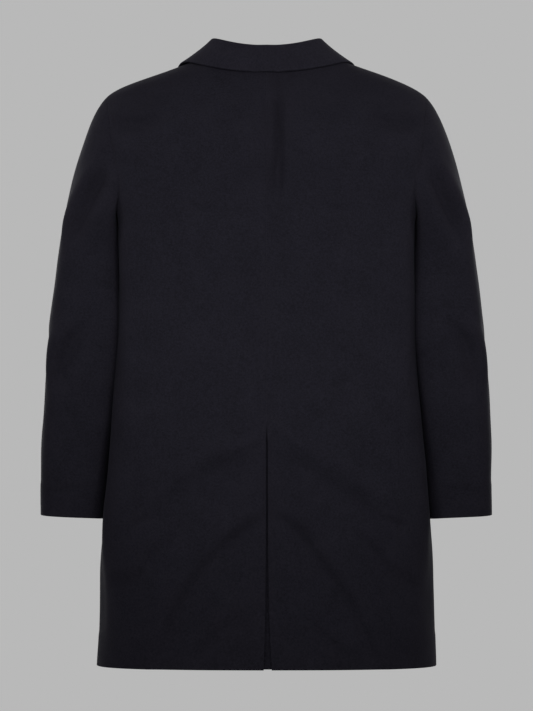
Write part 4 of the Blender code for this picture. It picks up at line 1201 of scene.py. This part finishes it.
def floor():
    """A plain round floor that throws no light up at the coat."""
    rim = np.column_stack((FLOOR_RADIUS * circle(FLOOR_SIDES), np.full(FLOOR_SIDES, FLOOR_Z)))
    mesh = bpy.data.meshes.new("floor")
    mesh.from_pydata(rim.tolist(), [], [range(FLOOR_SIDES)])
    material, _, shader = node_material("floor_pale")
    shade = grey(FLOOR_SHADE)
    set_sockets(shader, Base_Color=shade, Roughness=FLOOR_ROUGHNESS)
    set_sockets(shader, Emission_Color=shade, Emission_Strength=FLOOR_GLOW)
    mesh.materials.append(material)
    thing = new_object("floor", mesh)
    thing.visible_diffuse = False


def light(row, side):
    data = bpy.data.lights.new(row.name, row.kind)
    data.energy = row.power
    if row.kind == "SPOT":
        data.shadow_soft_size = row.size[0]
        data.spot_size, data.spot_blend = math.radians(row.angle), 1.0
    else:
        data.shape = "RECTANGLE"
        data.size, data.size_y = row.size
        data.spread = math.radians(row.angle)
    thing = new_object(row.name, data)
    place, target = (Vector((side * x, y, z)) for x, y, z in (row.place, row.target))
    thing.location = place
    thing.rotation_euler = (target - place).to_track_quat("-Z", "Y").to_euler()
    thing.visible_camera = False


def camera():
    data = bpy.data.cameras.new("camera")
    data.sensor_width = SENSOR
    data.lens = SENSOR * CAMERA_DISTANCE / (IMAGE_HEIGHT * METRES_PER_PIXEL)
    thing = new_object("camera", data)
    x = (IMAGE_WIDTH / 2 - ORIGIN_PIXEL[0]) * METRES_PER_PIXEL
    z = (ORIGIN_PIXEL[1] - IMAGE_HEIGHT / 2) * METRES_PER_PIXEL
    thing.location = (x, -CAMERA_DISTANCE, z)
    thing.rotation_euler = (QUARTER, 0, 0)
    bpy.context.scene.camera = thing


# Assembly

def build():
    # The collar's wool is a paler copy of the cloth: painted light standing in for the light the collar
    # catches
    cloth, collar_wool_painted_light = wool("wool_cloth", 1.0), wool("wool_collar", COLLAR_PAINTED_LIGHT)
    buttons, stitches = horn(), thread()
    under = ARMHOLE_STEPS - SLEEVE_SEAM_STEP
    for word, side in (("right", 1), ("left", -1)):
        back_panel("back_" + word, side, cloth)
        side_panel("side_" + word, side, cloth)
        front_panel("front_" + word, side, cloth)
        lapel("lapel_" + word, side, cloth)
        sleeve_piece("sleeve_upper_" + word, side, -SLEEVE_SEAM_STEP, SLEEVE_SEAM_STEP, cloth)
        sleeve_piece("sleeve_under_" + word, side, SLEEVE_SEAM_STEP, under, cloth)
    vent_underlap("vent_underlap", cloth)
    collar("collar", collar_wool_painted_light)
    for number, height in enumerate(BUTTON_HEIGHTS, 1):
        button(number, height, buttons, stitches)
        buttonhole(number, height, stitches)
    studio()
    floor()
    for row in LIGHTS:
        for side in (1, -1) if row.place[0] else (1,):
            light(row, side)
    camera()


build()
